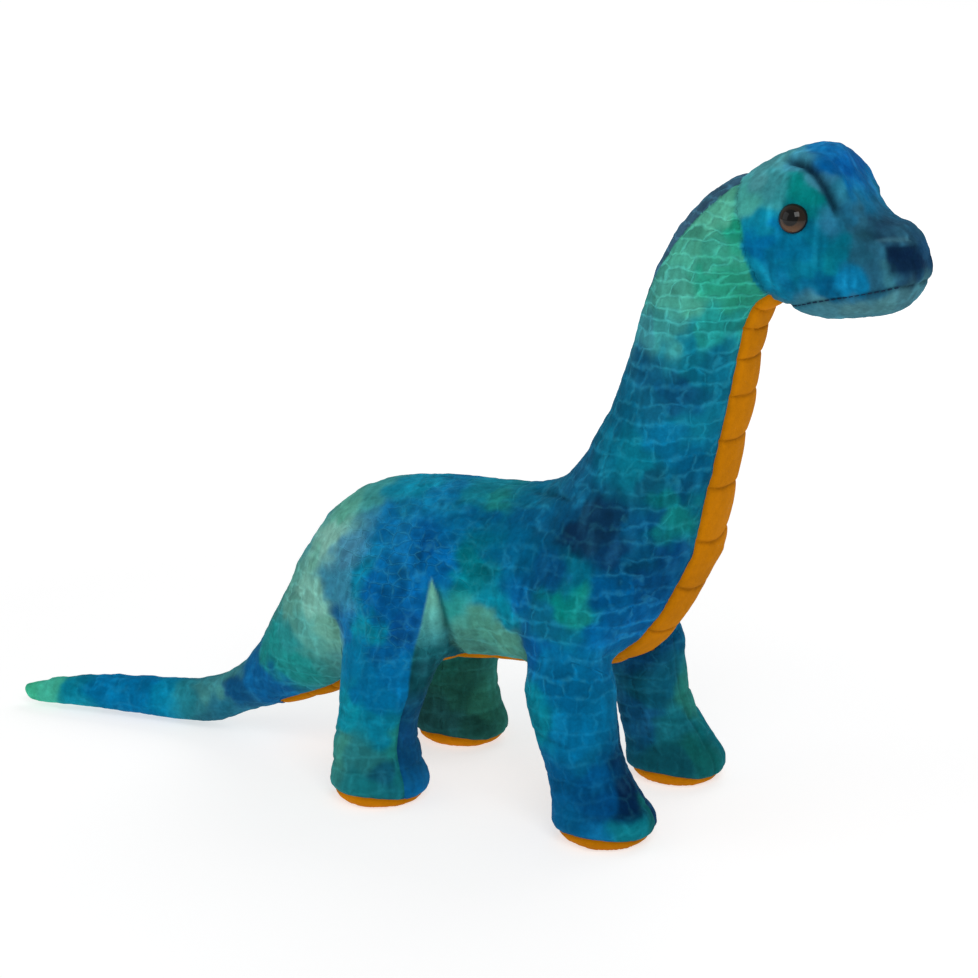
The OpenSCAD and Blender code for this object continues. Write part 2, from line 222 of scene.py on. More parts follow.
def skin_coordinates(points):
    """How far along the toy each point lies, its angle round from the back and the radius there."""
    back, under, wide = STATIONS[:, 0:2], STATIONS[:, 2:4], STATIONS[:, 4]
    middle, half = (back + under) / 2, (back - under) / 2
    tall = np.linalg.norm(half, axis=1)
    up = half / tall[:, None]
    ahead = np.stack([up[:, 1], -up[:, 0]], 1)
    length = np.concatenate([[0], np.cumsum(np.linalg.norm(np.diff(middle, axis=0), axis=1))])
    at = points[:, [0, 2]]
    count = len(STATIONS)
    past = np.stack([(at - middle[i]) @ ahead[i] for i in range(count)], 1)
    far = np.stack([np.linalg.norm(at - middle[i], axis=1) for i in range(count)], 1)
    between = (past[:, :-1] >= 0) & (past[:, 1:] < 0)
    cost = np.where(between, far[:, :-1] + far[:, 1:], 10 + far[:, :-1] + far[:, 1:])
    i = np.argmin(cost, axis=1)
    row = np.arange(len(points))
    a, b = past[row, i], past[row, i + 1]
    t = np.clip(a / np.where(np.abs(a - b) < 1e-9, 1, a - b), 0, 1)

    def mixed(values):
        s = t[:, None] if values.ndim == 2 else t
        return values[i] * (1 - s) + values[i + 1] * s

    rise = np.einsum("ij,ij->i", at - mixed(middle), mixed(up)) / mixed(tall)
    out = (points[:, 1] - sway(points[:, 0])) / mixed(wide)
    return mixed(length), np.degrees(np.arctan2(out, rise)), (mixed(wide) + mixed(tall)) / 2


TABLE = np.random.default_rng(11).random(8192)


def noise(points, size, seed=0):
    """Smooth random values from 0 to 1, with lumps of the given size."""
    q = points / size + 13.7 * seed + 100
    cell = np.floor(q).astype(np.int64)
    t = q - cell
    t = t * t * (3 - 2 * t)
    total = np.zeros(len(points))
    for corner in range(8):
        step = np.array([corner & 1, corner >> 1 & 1, corner >> 2 & 1])
        c = cell + step
        key = (c[:, 0] * 7919 + c[:, 1] * 104729 + c[:, 2] * 1299709 + seed * 31) % 8191
        total += TABLE[key] * np.prod(np.where(step, t, 1 - t), axis=1)
    return total


def line_distance(points, line):
    """Distance from a line in the side view, the share along it and the side, where above is positive."""
    best = np.full(len(points), 9.0)
    share = np.zeros(len(points))
    side = np.zeros(len(points))
    line = np.array(line, float) * MM
    at = points[:, [0, 2]]
    steps = len(line) - 1
    for i in range(steps):
        a, d = line[i], line[i + 1] - line[i]
        t = np.clip(((at - a) @ d) / (d @ d), 0, 1)
        away = at - a - t[:, None] * d
        r = np.linalg.norm(away, axis=1)
        nearer = r < best
        best[nearer] = r[nearer]
        share[nearer] = (i + t[nearer]) / steps
        side[nearer] = np.sign(d[0] * away[nearer, 1] - d[1] * away[nearer, 0])
    return best, share, side


def normals_of(points, faces):
    corner = points[faces]
    face = np.cross(corner[:, 2] - corner[:, 0], corner[:, 3] - corner[:, 1])
    total = np.zeros_like(points)
    for k in range(4):
        np.add.at(total, faces[:, k], face)
    return total / np.maximum(np.linalg.norm(total, axis=1), 1e-12)[:, None]


def edges_of(faces):
    pairs = np.concatenate([np.stack([faces[:, k], faces[:, (k + 1) % 4]], 1) for k in range(4)])
    return np.unique(np.sort(pairs, axis=1), axis=0)


def relaxed(points, edges, rounds, share=0.5):
    """Each point moves part of the way to the mean of its neighbours."""
    count = np.bincount(edges.ravel(), minlength=len(points))[:, None]
    for step in range(rounds):
        total = np.zeros_like(points)
        np.add.at(total, edges[:, 0], points[edges[:, 1]])
        np.add.at(total, edges[:, 1], points[edges[:, 0]])
        points = points + share * (total / count - points)
    return points


def mesh_arrays(mesh):
    points = np.empty(len(mesh.vertices) * 3)
    mesh.vertices.foreach_get("co", points)
    faces = np.empty(len(mesh.loops), np.int32)
    mesh.loops.foreach_get("vertex_index", faces)
    return points.reshape(-1, 3), faces.reshape(-1, 4)


# ---------- seams ----------
BROW_LINE = ((150, 329), (166, 333), (178, 338), (187, 341), (194, 341.2), (201, 340),
             (207.5, 336.5), (213.5, 330.5), (218, 324), (221.5, 318), (229, 311.5),
             (242, 307), (254, 306.5), (262, 304), (275, 300))
MOUTH_LINE = ((160, 258), (181, 268), (195, 271.5), (207, 275.5), (221, 279), (234, 282.5),
              (247, 285.5), (275, 287))


# Height and half the nape strip's width there, in millimetres and degrees round the neck
NAPE_HALF = ((190, 202, 230, 262, 285, 303, 318, 334), (0, 5, 11, 18, 30, 40, 38, 20))


def slab(points, place, along):
    """Signed distance ahead of a plane."""
    return (points - place) @ along


def seam_fields(points):
    """Signed distances whose zero lines are the cuts between the toy's pieces."""
    along, angle, radius = skin_coordinates(points)
    x, y, z = points.T
    arc = np.radians(1) * radius
    f = {
        "tail_half": x + 0.160,
        "rump": x + 0.092,
        "neck_low": slab(points, NECK_ROOT - 0.022 * NECK_ALONG, NECK_ALONG),
        "neck_mid": slab(points, NECK_ROOT + 0.026 * NECK_ALONG, NECK_ALONG),
        "head": slab(points, HEAD_SEAM, SEAM_ALONG),
        "left": y - sway(x),
        "belly": (np.abs(angle) - 150) * arc,
        "nape": (np.interp(z / MM, *NAPE_HALF) - np.abs(angle)) * arc,
    }
    away, share, side = line_distance(points, BROW_LINE)
    f["crown"] = away * side
    away, share, side = line_distance(points, MOUTH_LINE)
    f["jaw"] = -away * side
    for leg, at in LEGS.items():
        f[leg] = leg_field(points, at)
        f[leg + "_outer"] = leg_outer_field(points, at)
        ahead = leg_frame(points, at)[0] / 0.025
        f[leg + "_sole"] = 0.0076 - 0.0052 * np.clip(np.abs(ahead), 0, 1) ** 2 - z
    return f


LEG_LINES = {
    # height, the middle's x and its distance out, in millimetres
    True: ((0, 117, 47), (14, 115.5, 47), (28, 109, 46.5), (46, 102, 45.5),
           (62, 98, 44.5), (84, 95.5, 43), (120, 93, 42)),
    False: ((0, -11, 47), (14, -12, 47), (28, -14, 46.5), (46, -12.5, 45.5),
            (62, -8.5, 44.5), (84, -4, 43), (120, 2, 42)),
}
# Where a leg starts: a point on the cut and the way down it, out and up, in millimetres
LEG_CUT = {True: ((24, 70), (0.57, -0.822)), False: ((22, 55), (0.70, -0.714))}


def leg_field(points, at):
    out = points[:, 1] * at["side"]
    place, down = LEG_CUT[at["front"]]
    f = (out - place[0] * MM) * down[0] + (points[:, 2] - place[1] * MM) * down[1]
    reach = 0.033 + np.clip(0.05 - points[:, 2], 0, 1) * 0.3
    return np.minimum(f, np.minimum(reach - np.abs(points[:, 0] - at["pivot"][0]), out - 0.012))


def leg_frame(points, at):
    """Forward and outward of a leg's middle, at each point's height."""
    line = np.array(LEG_LINES[at["front"]], float) * MM
    z = points[:, 2]
    ahead = points[:, 0] - np.interp(z, line[:, 0], line[:, 1])
    out = points[:, 1] * at["side"] - np.interp(z, line[:, 0], line[:, 2])
    return ahead, out


def leg_outer_field(points, at):
    """Positive on the outer panel: from the front seam round the outside to the back seam."""
    ahead, out = leg_frame(points, at)
    seam = math.radians(-15 if at["front"] else 30)
    front = out * math.cos(seam) - ahead * math.sin(seam)
    return np.maximum(front, out) if at["front"] else np.minimum(front, out)


def snap(points, edges, field, where=None):
    """Points beside a cut move along an edge onto it, so that no edge crosses the cut."""
    a, b = field[edges[:, 0]], field[edges[:, 1]]
    cross = (a * b) < 0
    if where is not None:
        cross &= where[edges[:, 0]] | where[edges[:, 1]]
    e, t = edges[cross], a[cross] / (a[cross] - b[cross])
    first = t < 0.5
    mover = np.where(first, e[:, 0], e[:, 1])
    other = np.where(first, e[:, 1], e[:, 0])
    share = np.where(first, t, 1 - t)
    order = np.argsort(-share, kind="stable")
    mover, other, share = mover[order], other[order], share[order]
    target = points[mover] + share[:, None] * (points[other] - points[mover])
    points[mover] = target
    field[mover] = 0


# ---------- stuffing pushes the skin out ----------
# The furthest that the stuffing may push a point of the skin
SWELL_CAP = 3.2 * MM


def puffed(points, faces):
    """A cloth pass with pressure, held at the seams."""
    edges = edges_of(faces)
    normals = normals_of(points, faces)
    f = seam_fields(points)
    in_leg = np.max([f[leg] for leg in LEGS], axis=0) > 0
    on_head = f["head"] > 0
    on_neck = (f["neck_low"] > 0) & ~on_head
    seams = np.where(in_leg, 1, np.where(on_head, 1, np.abs(f["belly"])))
    seams = np.where(on_neck & ~in_leg, np.minimum(seams, np.abs(f["nape"])), seams)
    seams = np.where(on_head, np.minimum(np.abs(f["crown"]), np.abs(f["jaw"])), seams)
    seams = np.minimum(seams, np.abs(f["head"]))
    for leg in LEGS:
        own = f[leg] > 0
        seams = np.where(own, np.minimum(np.abs(f[leg + "_outer"]), np.abs(f[leg + "_sole"])), seams)
        seams = np.where((f[leg + "_sole"] > -0.002) & own, 0, seams)
    start = points - normals * 0.0002
    obj = new_object("skin_cloth", start, faces)
    held = obj.vertex_groups.new(name="held")
    for i in np.nonzero(seams < 0.0022)[0]:
        held.add([int(i)], 1.0, "REPLACE")
    cloth = obj.modifiers.new("cloth", "CLOTH")
    cloth.settings.quality = 5
    cloth.settings.mass = 0.0012
    cloth.settings.tension_stiffness = 3
    cloth.settings.compression_stiffness = 3
    cloth.settings.shear_stiffness = 1
    cloth.settings.bending_stiffness = 0.05
    cloth.settings.use_pressure = True
    cloth.settings.uniform_pressure_force = 4
    cloth.settings.vertex_group_mass = "held"
    cloth.settings.effector_weights.gravity = 0
    cloth.collision_settings.use_collision = False
    cloth.point_cache.frame_start = 1
    cloth.point_cache.frame_end = 20
    scene = bpy.context.scene
    for number in range(1, 21):
        scene.frame_set(number)
        bpy.context.evaluated_depsgraph_get()
    result = bpy.data.meshes.new_from_object(obj.evaluated_get(bpy.context.evaluated_depsgraph_get()))
    moved = mesh_arrays(result)[0] - start
    scene.frame_set(1)
    bpy.data.objects.remove(obj)
    size = np.maximum(np.linalg.norm(moved, axis=1), 1e-9)[:, None]
    moved *= np.minimum(size, SWELL_CAP) / size
    return relaxed(start + moved, edges, 1, 0.4)


def refined(points, faces, levels):
    obj = new_object("refine", points, faces)
    modifier = obj.modifiers.new("subdivide", "SUBSURF")
    modifier.levels = levels
    mesh = bpy.data.meshes.new_from_object(obj.evaluated_get(bpy.context.evaluated_depsgraph_get()))
    bpy.data.objects.remove(obj)
    return mesh_arrays(mesh)


skin_object = base_skin()
P, Q = mesh_arrays(skin_object.data)
bpy.data.objects.remove(skin_object)
P = relaxed(P, edges_of(Q), 3)
P = puffed(P, Q)
P, Q = refined(P, Q, 2)
E = edges_of(Q)
N = normals_of(P, Q)
REST = P.copy()
F = seam_fields(P)
ALONG, ANGLE = skin_coordinates(P)[:2]
X, Y, Z = P.T.copy()
OUT = np.abs(Y)
IN_LEG = {leg: F[leg] > 0 for leg in LEGS}
ANY_LEG = np.any(list(IN_LEG.values()), axis=0)
ON_HEAD = F["head"] > 0
ON_NECK = (F["neck_low"] > 0) & ~ON_HEAD
ON_TAIL = F["rump"] < 0
ON_TORSO = ~(ON_HEAD | ON_NECK | ON_TAIL)
ORANGE = (F["belly"] > 0) & ~ANY_LEG & ~ON_HEAD & (X > -0.092)

# ---------- shaping ----------
push = np.zeros(len(P))
# painted shade: how much each groove, seam and crease darkens the colour
painted_crease_shade = np.zeros(len(P))


def bell(distance, width):
    return np.exp(-((distance / width) ** 2))


# A groove pushes the skin in, and its dark share is painted shade along the groove
def groove(distance, width, depth, mask=1.0, dark=0.5):
    global push, painted_crease_shade
    shape = bell(distance, width) * mask
    push -= depth * shape
    painted_crease_shade = np.maximum(painted_crease_shade, dark * bell(distance, width * 0.8) * mask)


def crease(line, width, depth, mask=1.0, lip=0.0, dark=0.5, taper=0.15):
    """A fold along a line in the side view, on both sides of the toy, with painted shade in it. A lip may stand
    out above it.
    """
    global push
    away, share, side = line_distance(P, line)
    fade = np.clip(share / taper, 0, 1) * np.clip((1 - share) / taper, 0, 1)
    fade = fade * fade * (3 - 2 * fade) * mask
    groove(away, width, depth, fade, dark)
    if lip:
        push += lip * bell(away - 2.1 * width, 2 * width) * (side > 0) * fade


def lump(x, y, z, size, height, squash=1.0):
    """A soft bump, or a hollow when its height is negative, on both sides of the toy."""
    global push
    d = np.sqrt((X - x * MM) ** 2 + (OUT - y * MM) ** 2 + ((Z - z * MM) / squash) ** 2)
    push += height * bell(d, size)


pucker = 0.75 + 0.5 * noise(P, 0.006, 3)
not_leg = ~ANY_LEG
# seams of body, neck and head, with painted shade in their grooves
groove(np.abs(F["belly"]), 0.0016, 0.0011, pucker * (not_leg & ~ON_HEAD & (X > -0.092)), 0.35)
groove(np.abs(F["nape"]), 0.0013, 0.0007, pucker * ON_NECK, 0.35)
groove(np.abs(F["head"]), 0.0018, 0.0007, pucker, 0.22)
groove(np.abs(F["left"]), 0.0012, 0.0005,
       pucker * ((ON_TORSO | ON_TAIL) & not_leg & (np.abs(ANGLE) < 60)), 0.2)
mouth_part = ON_HEAD & (X > 0.186)
groove(np.abs(F["jaw"]), 0.0012, 0.0010, pucker * mouth_part, 0.5)
push += 0.0004 * bell(F["jaw"] + 0.006, 0.004) * mouth_part
for leg, own in IN_LEG.items():
    groove(np.abs(F[leg + "_outer"]), 0.0014, 0.0009, pucker * own * (Z > 0.005), 0.3)
    groove(np.abs(F[leg + "_sole"]), 0.0012, 0.0009, pucker * own, 0.4)
# quilting across the orange fabric, 20 mm apart, with painted shade in its grooves
period = 0.020
slant = 0.004 * np.cos(np.radians(ANGLE)) + 0.0015 * noise(P, 0.02, 6)
wave = np.abs(((ALONG + slant) / period) % 1 - 0.5) * period
edge_fade = np.clip(F["belly"] / 0.004, 0, 1)
push += ORANGE * 0.0010 * np.sin(np.pi / 2 * np.clip(wave / 0.010, 0, 1)) ** 0.6 * edge_fade
groove(wave, 0.0008, 0.0008, ORANGE * (F["belly"] > -0.001), 0.45)
# face, with painted shade in its creases
on_side = OUT > 0.008
brow_side = np.clip((OUT - 0.009) / 0.007, 0, 1) * ON_HEAD
crease(BROW_LINE[3:10], 0.0018, 0.0038, brow_side, lip=0.0022, dark=0.6, taper=0.12)
# painted shade: a dark band along the fold under the brow, laid into the colour
away, share, side = line_distance(P, BROW_LINE[3:10])
brow_fade = np.clip(share / 0.1, 0, 1) * np.clip((1 - share) / 0.12, 0, 1)
brow_fade = brow_fade * np.clip((OUT - 0.008) / 0.006, 0, 1)
BROW_PAINTED_SHADE = bell(away + 0.0003 * side, 0.0014 + 0.0008 * share) * brow_fade * ON_HEAD
crease(BROW_LINE[8:12], 0.0026, 0.0013, brow_side, lip=0.0006, dark=0.4, taper=0.2)
crease(((193, 301), (189, 293), (188, 285), (190, 276)), 0.0020, 0.0010, on_side * ON_HEAD, dark=0.1)
lump(201, 29, 331, 0.011, 0.0030)
lump(196, 33, 291, 0.014, 0.0018)
lump(226, 26, 288, 0.012, 0.0012)
lump(253, 17, 299, 0.0070, -0.0018)
lump(200.2, 31, 316, 0.0078, -0.0020)
lump(256, 0, 276, 0.0080, -0.0014)
lump(259, 0, 298, 0.0090, -0.0018)
crease(((239, 307), (249, 307.5), (258, 306)), 0.0010, 0.0005, OUT > 0.008, lip=0.0004, dark=0.25, taper=0.25)
# hips, shoulders and flanks, with painted shade in their creases
crease(((20, 124), (25, 113), (27.5, 102), (28.5, 92), (28, 80), (25, 68)),
       0.0022, 0.0032, OUT > 0.024, dark=0.75, taper=0.2)
crease(((20, 124), (21, 112), (19.5, 100), (18.5, 88)), 0.0013, 0.0010, OUT > 0.04, dark=0.3, taper=0.2)
crease(((68, 104), (70, 92), (72, 82), (74, 72)), 0.0032, 0.0018, OUT > 0.030, dark=0.35, taper=0.3)
crease(((54, 163), (66, 164), (80, 167), (98, 168)), 0.0012, 0.0011, OUT > 0.008, dark=0.5, taper=0.25)
crease(((-74, 118), (-62, 121), (-48, 122)), 0.0013, 0.0007, 1.0, dark=0.2, taper=0.3)
crease(((-84, 92), (-70, 96), (-52, 94)), 0.0016, 0.0007, 1.0, dark=0.15, taper=0.3)
crease(((-38, 112), (-36, 96), (-38, 80), (-40, 66)), 0.0030, 0.0018, OUT > 0.03, dark=0.3, taper=0.3)
crease(((-92, 62), (-82, 52), (-66, 46)), 0.0024, 0.0010, OUT > 0.012, dark=0.2, taper=0.3)
# fuller legs, with feet that spread down to the sole
push += 0.0016 * np.clip(np.max([F[leg] for leg in LEGS], axis=0) / 0.02, 0, 1)
lump(137, 47, 16, 0.017, 0.0022)
lump(-10, 66, 18, 0.016, 0.0012)
lump(6, 47, 14, 0.015, 0.0014)
for leg, at in LEGS.items():
    push -= 0.0012 * bell(Z - 0.040, 0.012) * IN_LEG[leg] * (1.0 if at["front"] else 0.5)
# wrinkles across the legs, with painted shade in them
for height, bend, depth in ((50, 3, 0.0008), (33, -3, 0.0009), (19, 2, 0.0006)):
    level = height * MM + bend * MM * np.sin(X / 0.011) + 0.004 * (noise(P, 0.02, 5) - 0.5)
    groove(np.abs(Z - level), 0.0014, depth, ANY_LEG * np.clip(2.2 * noise(P, 0.017, 8) - 0.6, 0, 1), 0.2)
push += 0.0013 * (noise(P, 0.021, 1) - 0.5) + 0.0007 * (noise(P, 0.009, 2) - 0.5)
push += (0.0006 * (noise(P, 0.0042, 4) - 0.5) + 0.0004 * (noise(P, 0.0020, 7) - 0.5)) * ~ORANGE

P = P + N * push[:, None]
for leg, at in LEGS.items():
    line = np.array(LEG_LINES[at["front"]][0][1:], float) * MM * (1, at["side"])
    spread = (0.13 * bell(Z - 0.008, 0.008) * IN_LEG[leg])[:, None]
    P[:, :2] += spread * (P[:, :2] - line)
P[:, 2] = np.where(ANY_LEG & (Z < 0.0016), 0.0003, np.maximum(P[:, 2], 0.0003))

# ---------- cuts ----------
neckless = ON_NECK & not_leg
for name, where in (
    ("tail_half", X < -0.1), ("rump", (X < -0.05) & (Z < 0.13)), ("neck_low", Z > 0.08), ("neck_mid", Z > 0.1),
    ("head", Z > 0.2),
):
    snap(P, E, F[name], where)
for leg in LEGS:
    snap(P, E, F[leg])
for leg in LEGS:
    snap(P, E, F[leg + "_sole"], IN_LEG[leg])
    snap(P, E, F[leg + "_outer"], IN_LEG[leg])
snap(P, E, F["left"], (ON_TORSO | ON_TAIL) & not_leg)
snap(P, E, F["belly"], (ON_TORSO | ON_NECK) & not_leg)
snap(P, E, F["nape"], neckless)
snap(P, E, F["crown"], ON_HEAD)
snap(P, E, F["jaw"], ON_HEAD)
N = normals_of(P, Q)


# ---------- dye, with painted shade and highlight ---
def linear(code):
    """A scene colour from a hex code."""
    c = np.array([int(code[i:i + 2], 16) for i in (0, 2, 4)]) / 255
    return np.where(c <= 0.04045, c / 12.92, ((c + 0.055) / 1.055) ** 2.4)


# Blots of dye: colour and place in millimetres on the right side, mirrored on the left. "r" and "l" are for
# the inner panels of the right and left legs, and "R" and "L" keep a blot on the rest of that side
BLOTS = """
3fb08a -256 -17 8|3aa088 -240 -20 14|1c84a0 -225 -22 16|0f74aa -205 -20 22|0f74aa -185 -14 20
1580a8 -168 -16 22
2f93a5 -150 -16 20|4fa3a5 -136 -16 24|2a7f9c -128 -10 14|14507f -120 -16 30|4a9ca0 -124 -2 36
15609c -104 -18 42
17609a -96 -22 36|2a8f8c -86 -26 62|3f9a98 -92 -10 84|2f8f90 -76 -34 70|6fb3a0 -60 -36 122|5fa596 -74 -26 92
7fbfae -52 -40 100|86c0b0 -50 -30 130|5fb09a -46 -24 146|3a8aa8 -36 -46 112|4a90b0 -34 -44 132
3f9a98 -32 -20 155
57a59a -60 -38 76|2a8f8c -68 -40 60|6fb3a0 -44 -44 84|4a9aa0 -66 -14 128
1569a5 -14 -42 152|1464a0 2 -56 134|0f5a98 -6 -58 112|125f9f 14 -58 116|1a7a9c -20 -56 120|1c86a0 -10 -62 94
104f8c 8 -62 98|0c4a84 14 -52 140|1a78a8 -24 -48 140|0f5f9c 22 -48 128|1f86a5 -6 -14 161|1b74a5 12 -16 163
1f7c90 32 -14 165|2a8c8c 46 -16 164|186c90 56 -12 165|0f5f90 40 -32 160|1d6a8c 70 -14 168|1a5f88 84 -18 178
14608e 64 -30 160
0f6593 58 -47 140|0a7890 43 -46 148|0e7c8c 41 -47 130|1367a0 28 -47 152|1063a0 70 -48 120|0e5c85 74 -46 140
1a86a0 58 -46 110|2f8f8a 36 -42 108|4f9a88 48 -42 98|579f8b 60 -42 92|4a8c7e 40 -34 84|4f9484 70 -38 84
4a9a90 56 -30 74
0d3557 112 -46 164|0c3053 100 -48 152|0f4770 92 -48 164|0e3c66 118 -47 148|12568a 86 -50 134|14567f 78 -44 156
0f6480 100 -50 138|0a568c 124 -50 128|2f9c90 104 -52 119|1f8f8c 97 -52 122|0c5a90 114 -52 110
14609c 134 -44 142|1156a0 146 -38 148
0f4f90 134 -40 128|1a6f94 88 -54 112|14609a 120 -50 110|125e9c 130 -30 112|1460a0 80 -56 96
1c6a94 92 -40 178|165f90 108 -38 196|1a6a98 124 -38 192|1f8590 142 -38 173|258e90 147 -36 163
1c6a8c 132 -36 182|0e5088 132 -38 166|0e5088 150 -36 178
0f4f88 152 -34 190|155a94 142 -34 204|17507f 134 -34 222|12447a 146 -33 228|1d6a9a 152 -34 212
14487a 124 -32 236
1b6598 158 -30 238|16588c 118 -30 216|1f7c96 150 -32 250|3c9c9a 138 -32 258|2f9a96 160 -32 260
3f959e 124 -28 256
4fb09a 146 -32 274|37a68a 160 -32 284|4fb398 150 -28 300|3fa58f 164 -32 298|5ab89c 160 -24 316
46a69c 172 -30 324
35a084 172 -32 280|2f9f80 168 -32 308|4fae9c 134 -30 272
4f9aa0 180 -16 337|3a9098 184 -24 334|3f8fa8 194 -16 344|1468a5 206 -8 350|0f5a9c 214 -14 343
0d58a0 220 -10 338
1466a4 226 -16 330|3f8ca4 211 -25 337|2a7d98 218 -24 328|246f92 222 -23 318|1f6f98 230 -14 322
2a6680 230 -22 316
2a5a7a 240 -16 316|2f6280 250 -12 313|235272 246 -22 308|10284c 253 -20 300|0d2346 256 -14 294
1a4064 250 -22 292
1d4a70 260 -4 302|2a6a88 240 -24 298|3a7f92 244 -24 290|2f6f88 236 -26 304
1fa09c 200 -28 332|169a98 208 -29 328|34929a 190 -30 332|328f96 186 -32 322|1c7f9c 182 -30 312
1a929c 208 -32 318
0a62a8 187 -33 307|0a60a6 184 -33 298|1a78ac 181 -30 290|1373b4 200 -33 304|1472ac 212 -31 308
1a7db4 206 -32 292
1e86b4 216 -30 298|1579a8 222 -28 300|1268a8 200 -33 282|0f60a2 214 -30 286|1a72aa 190 -32 280
256a86 232 -26 296
2a6a88 236 -26 288|1a78a8 226 -27 286|4f93a5 212 -22 270|5f9faa 226 -20 272|5a9ba5 240 -16 276
4f8a98 252 -10 280
3f88a0 196 -24 270|4f93a5 232 -4 266|4f93a5 205 -4 264
0f5f95 98 -62 76|14659c 90 -60 92|1268a0 105 -62 58|1a7a98 86 -58 62|1063a0 114 -62 36|0f5a9a 122 -60 22
0a3564 136 -54 26 R|0a3060 133 -50 30 R|17605f 136 -52 22 L|124f78 128 -50 40 L|1f7d80 141 -44 10
1570a8 108 -62 12|13649c 100 -58 32|1a78a8 116 -66 48|0f5f98 96 -50 20
1a6fa8 124 -62 8|1f8090 138 -60 8
1068a0 -8 -64 62|1470a5 -24 -58 78|1268a8 8 -62 72|1c7aa0 -4 -64 42|1f86a5 -22 -60 50|2f8a90 -8 -64 24
1f7078 6 -60 16
45a598 -24 -58 26|3a9a96 -18 -60 14|2a8f9a -8 -64 8|2f9490 6 -60 30|1a5f78 0 -64 18|1a6aa4 -30 -50 90
0f5c96 2 -64 84
1f6878 20 -38 70 r|124f68 14 -36 54 r
0e3868 10 -34 38 r|123f78 8 -36 24 r|14609a 8 -34 10 r|0f3a66 4 -28 30 r|144a70 100 -28 60 r
123f66 110 -28 30 r
1f5a50 6 -28 36 l|226a60 -10 -28 50 l|1c4f48 8 -30 16 l|1a4a4a -10 -28 14 l|1f5f58 0 -26 62 l
2a7060 10 -36 26 l
15566f 112 -28 52 l|124a78 100 -28 78 l|1b6573 124 -28 32 l|1f7070 136 -36 16 l|1a6070 124 -30 12 l
2f8a80 122 -44 44 l
1a7a88 134 -52 20 l|14507a 106 -26 36 l
"""
# Washes: how much each scales the red, green and blue of the blots at its places
WASHES = """
1.35 1.35 1.35: -256 -17 8|-240 -20 14
0.70 0.70 0.70: -150 -16 20|-136 -16 24|-128 -10 14|-124 -2 36|-92 -10 84
0.70 0.70 0.70: 240 -16 316|250 -12 313|246 -22 308|240 -24 298
0.70 0.70 0.70: 244 -24 290|236 -26 304|232 -26 296|236 -26 288
0.70 0.70 0.70: 114 -62 36|122 -60 22|108 -62 12|100 -58 32|116 -66 48
0.68 0.68 0.68: 58 -47 140|43 -46 148|41 -47 130
1.50 1.50 1.50: 58 -47 140
1.15 1.15 1.15: 43 -46 148|41 -47 130
0.68 0.68 0.68: 212 -22 270|226 -20 272|240 -16 276|252 -10 280|196 -24 270|232 -4 266|205 -4 264
0.85 0.85 0.85: 100 -50 138|124 -50 128|104 -52 119|97 -52 122
1.25 1.25 1.25: 100 -50 138|124 -50 128|114 -52 110
1.25 1.25 1.25: 142 -34 204|134 -34 222|146 -33 228|124 -32 236
1.00 1.10 1.10: 104 -52 119|97 -52 122
0.72 0.72 0.72: 134 -44 142|146 -38 148|142 -38 173|147 -36 163|132 -36 182
0.72 0.72 0.72: 200 -33 304|212 -31 308|206 -32 292|216 -30 298|222 -28 300|200 -33 282|214 -30 286
1.00 0.95 0.80: 134 -44 142|146 -38 148|134 -40 128|132 -38 166|150 -36 178
1.00 1.30 0.90: 108 -38 196|124 -38 192|152 -34 190|142 -34 204|134 -34 222|146 -33 228|152 -34 212
1.00 1.30 0.90: 124 -32 236|158 -30 238|118 -30 216
0.62 0.62 0.62: 200 -28 332|208 -29 328|208 -32 318|136 -54 26|133 -50 30|136 -52 22|141 -44 10|134 -52 20
1.00 1.12 0.82: 187 -33 307|184 -33 298|181 -30 290|200 -33 304|212 -31 308|206 -32 292
1.00 1.12 0.82: 216 -30 298|222 -28 300|200 -33 282|214 -30 286|190 -32 280
1.00 1.20 1.05: 98 -62 76|90 -60 92|105 -62 58|86 -58 62
1.00 1.15 1.00: -8 -64 62|-24 -58 78|8 -62 72|-4 -64 42|-22 -60 50
0.74 0.74 0.74: -8 -64 24|-24 -58 26|-18 -60 14|-8 -64 8|6 -60 30
0.60 0.60 0.60: 136 -36 16|124 -30 12|122 -44 44
"""
ORANGE_DYE = "c47806"
SLATE_DYE = "3f6480"


def washed_blots():
    """Each blot's dye with its washes taken in, its place in millimetres and its side, if it keeps to one."""
    strength = {}
    for line in WASHES.strip().split("\n"):
        scale, places = line.split(": ")
        for place in places.split("|"):
            strength[place] = strength.get(place, 1) * np.array([float(v) for v in scale.split()])
    blots = []
    for blot in BLOTS.replace("\n", "|").strip("|").split("|"):
        code, x, y, z, *side = blot.split()
        dye = np.minimum(linear(code) * strength.get(f"{x} {y} {z}", 1), 1)
        blots.append((dye, np.array([float(x), float(y), float(z)]), "".join(side)))
    return blots


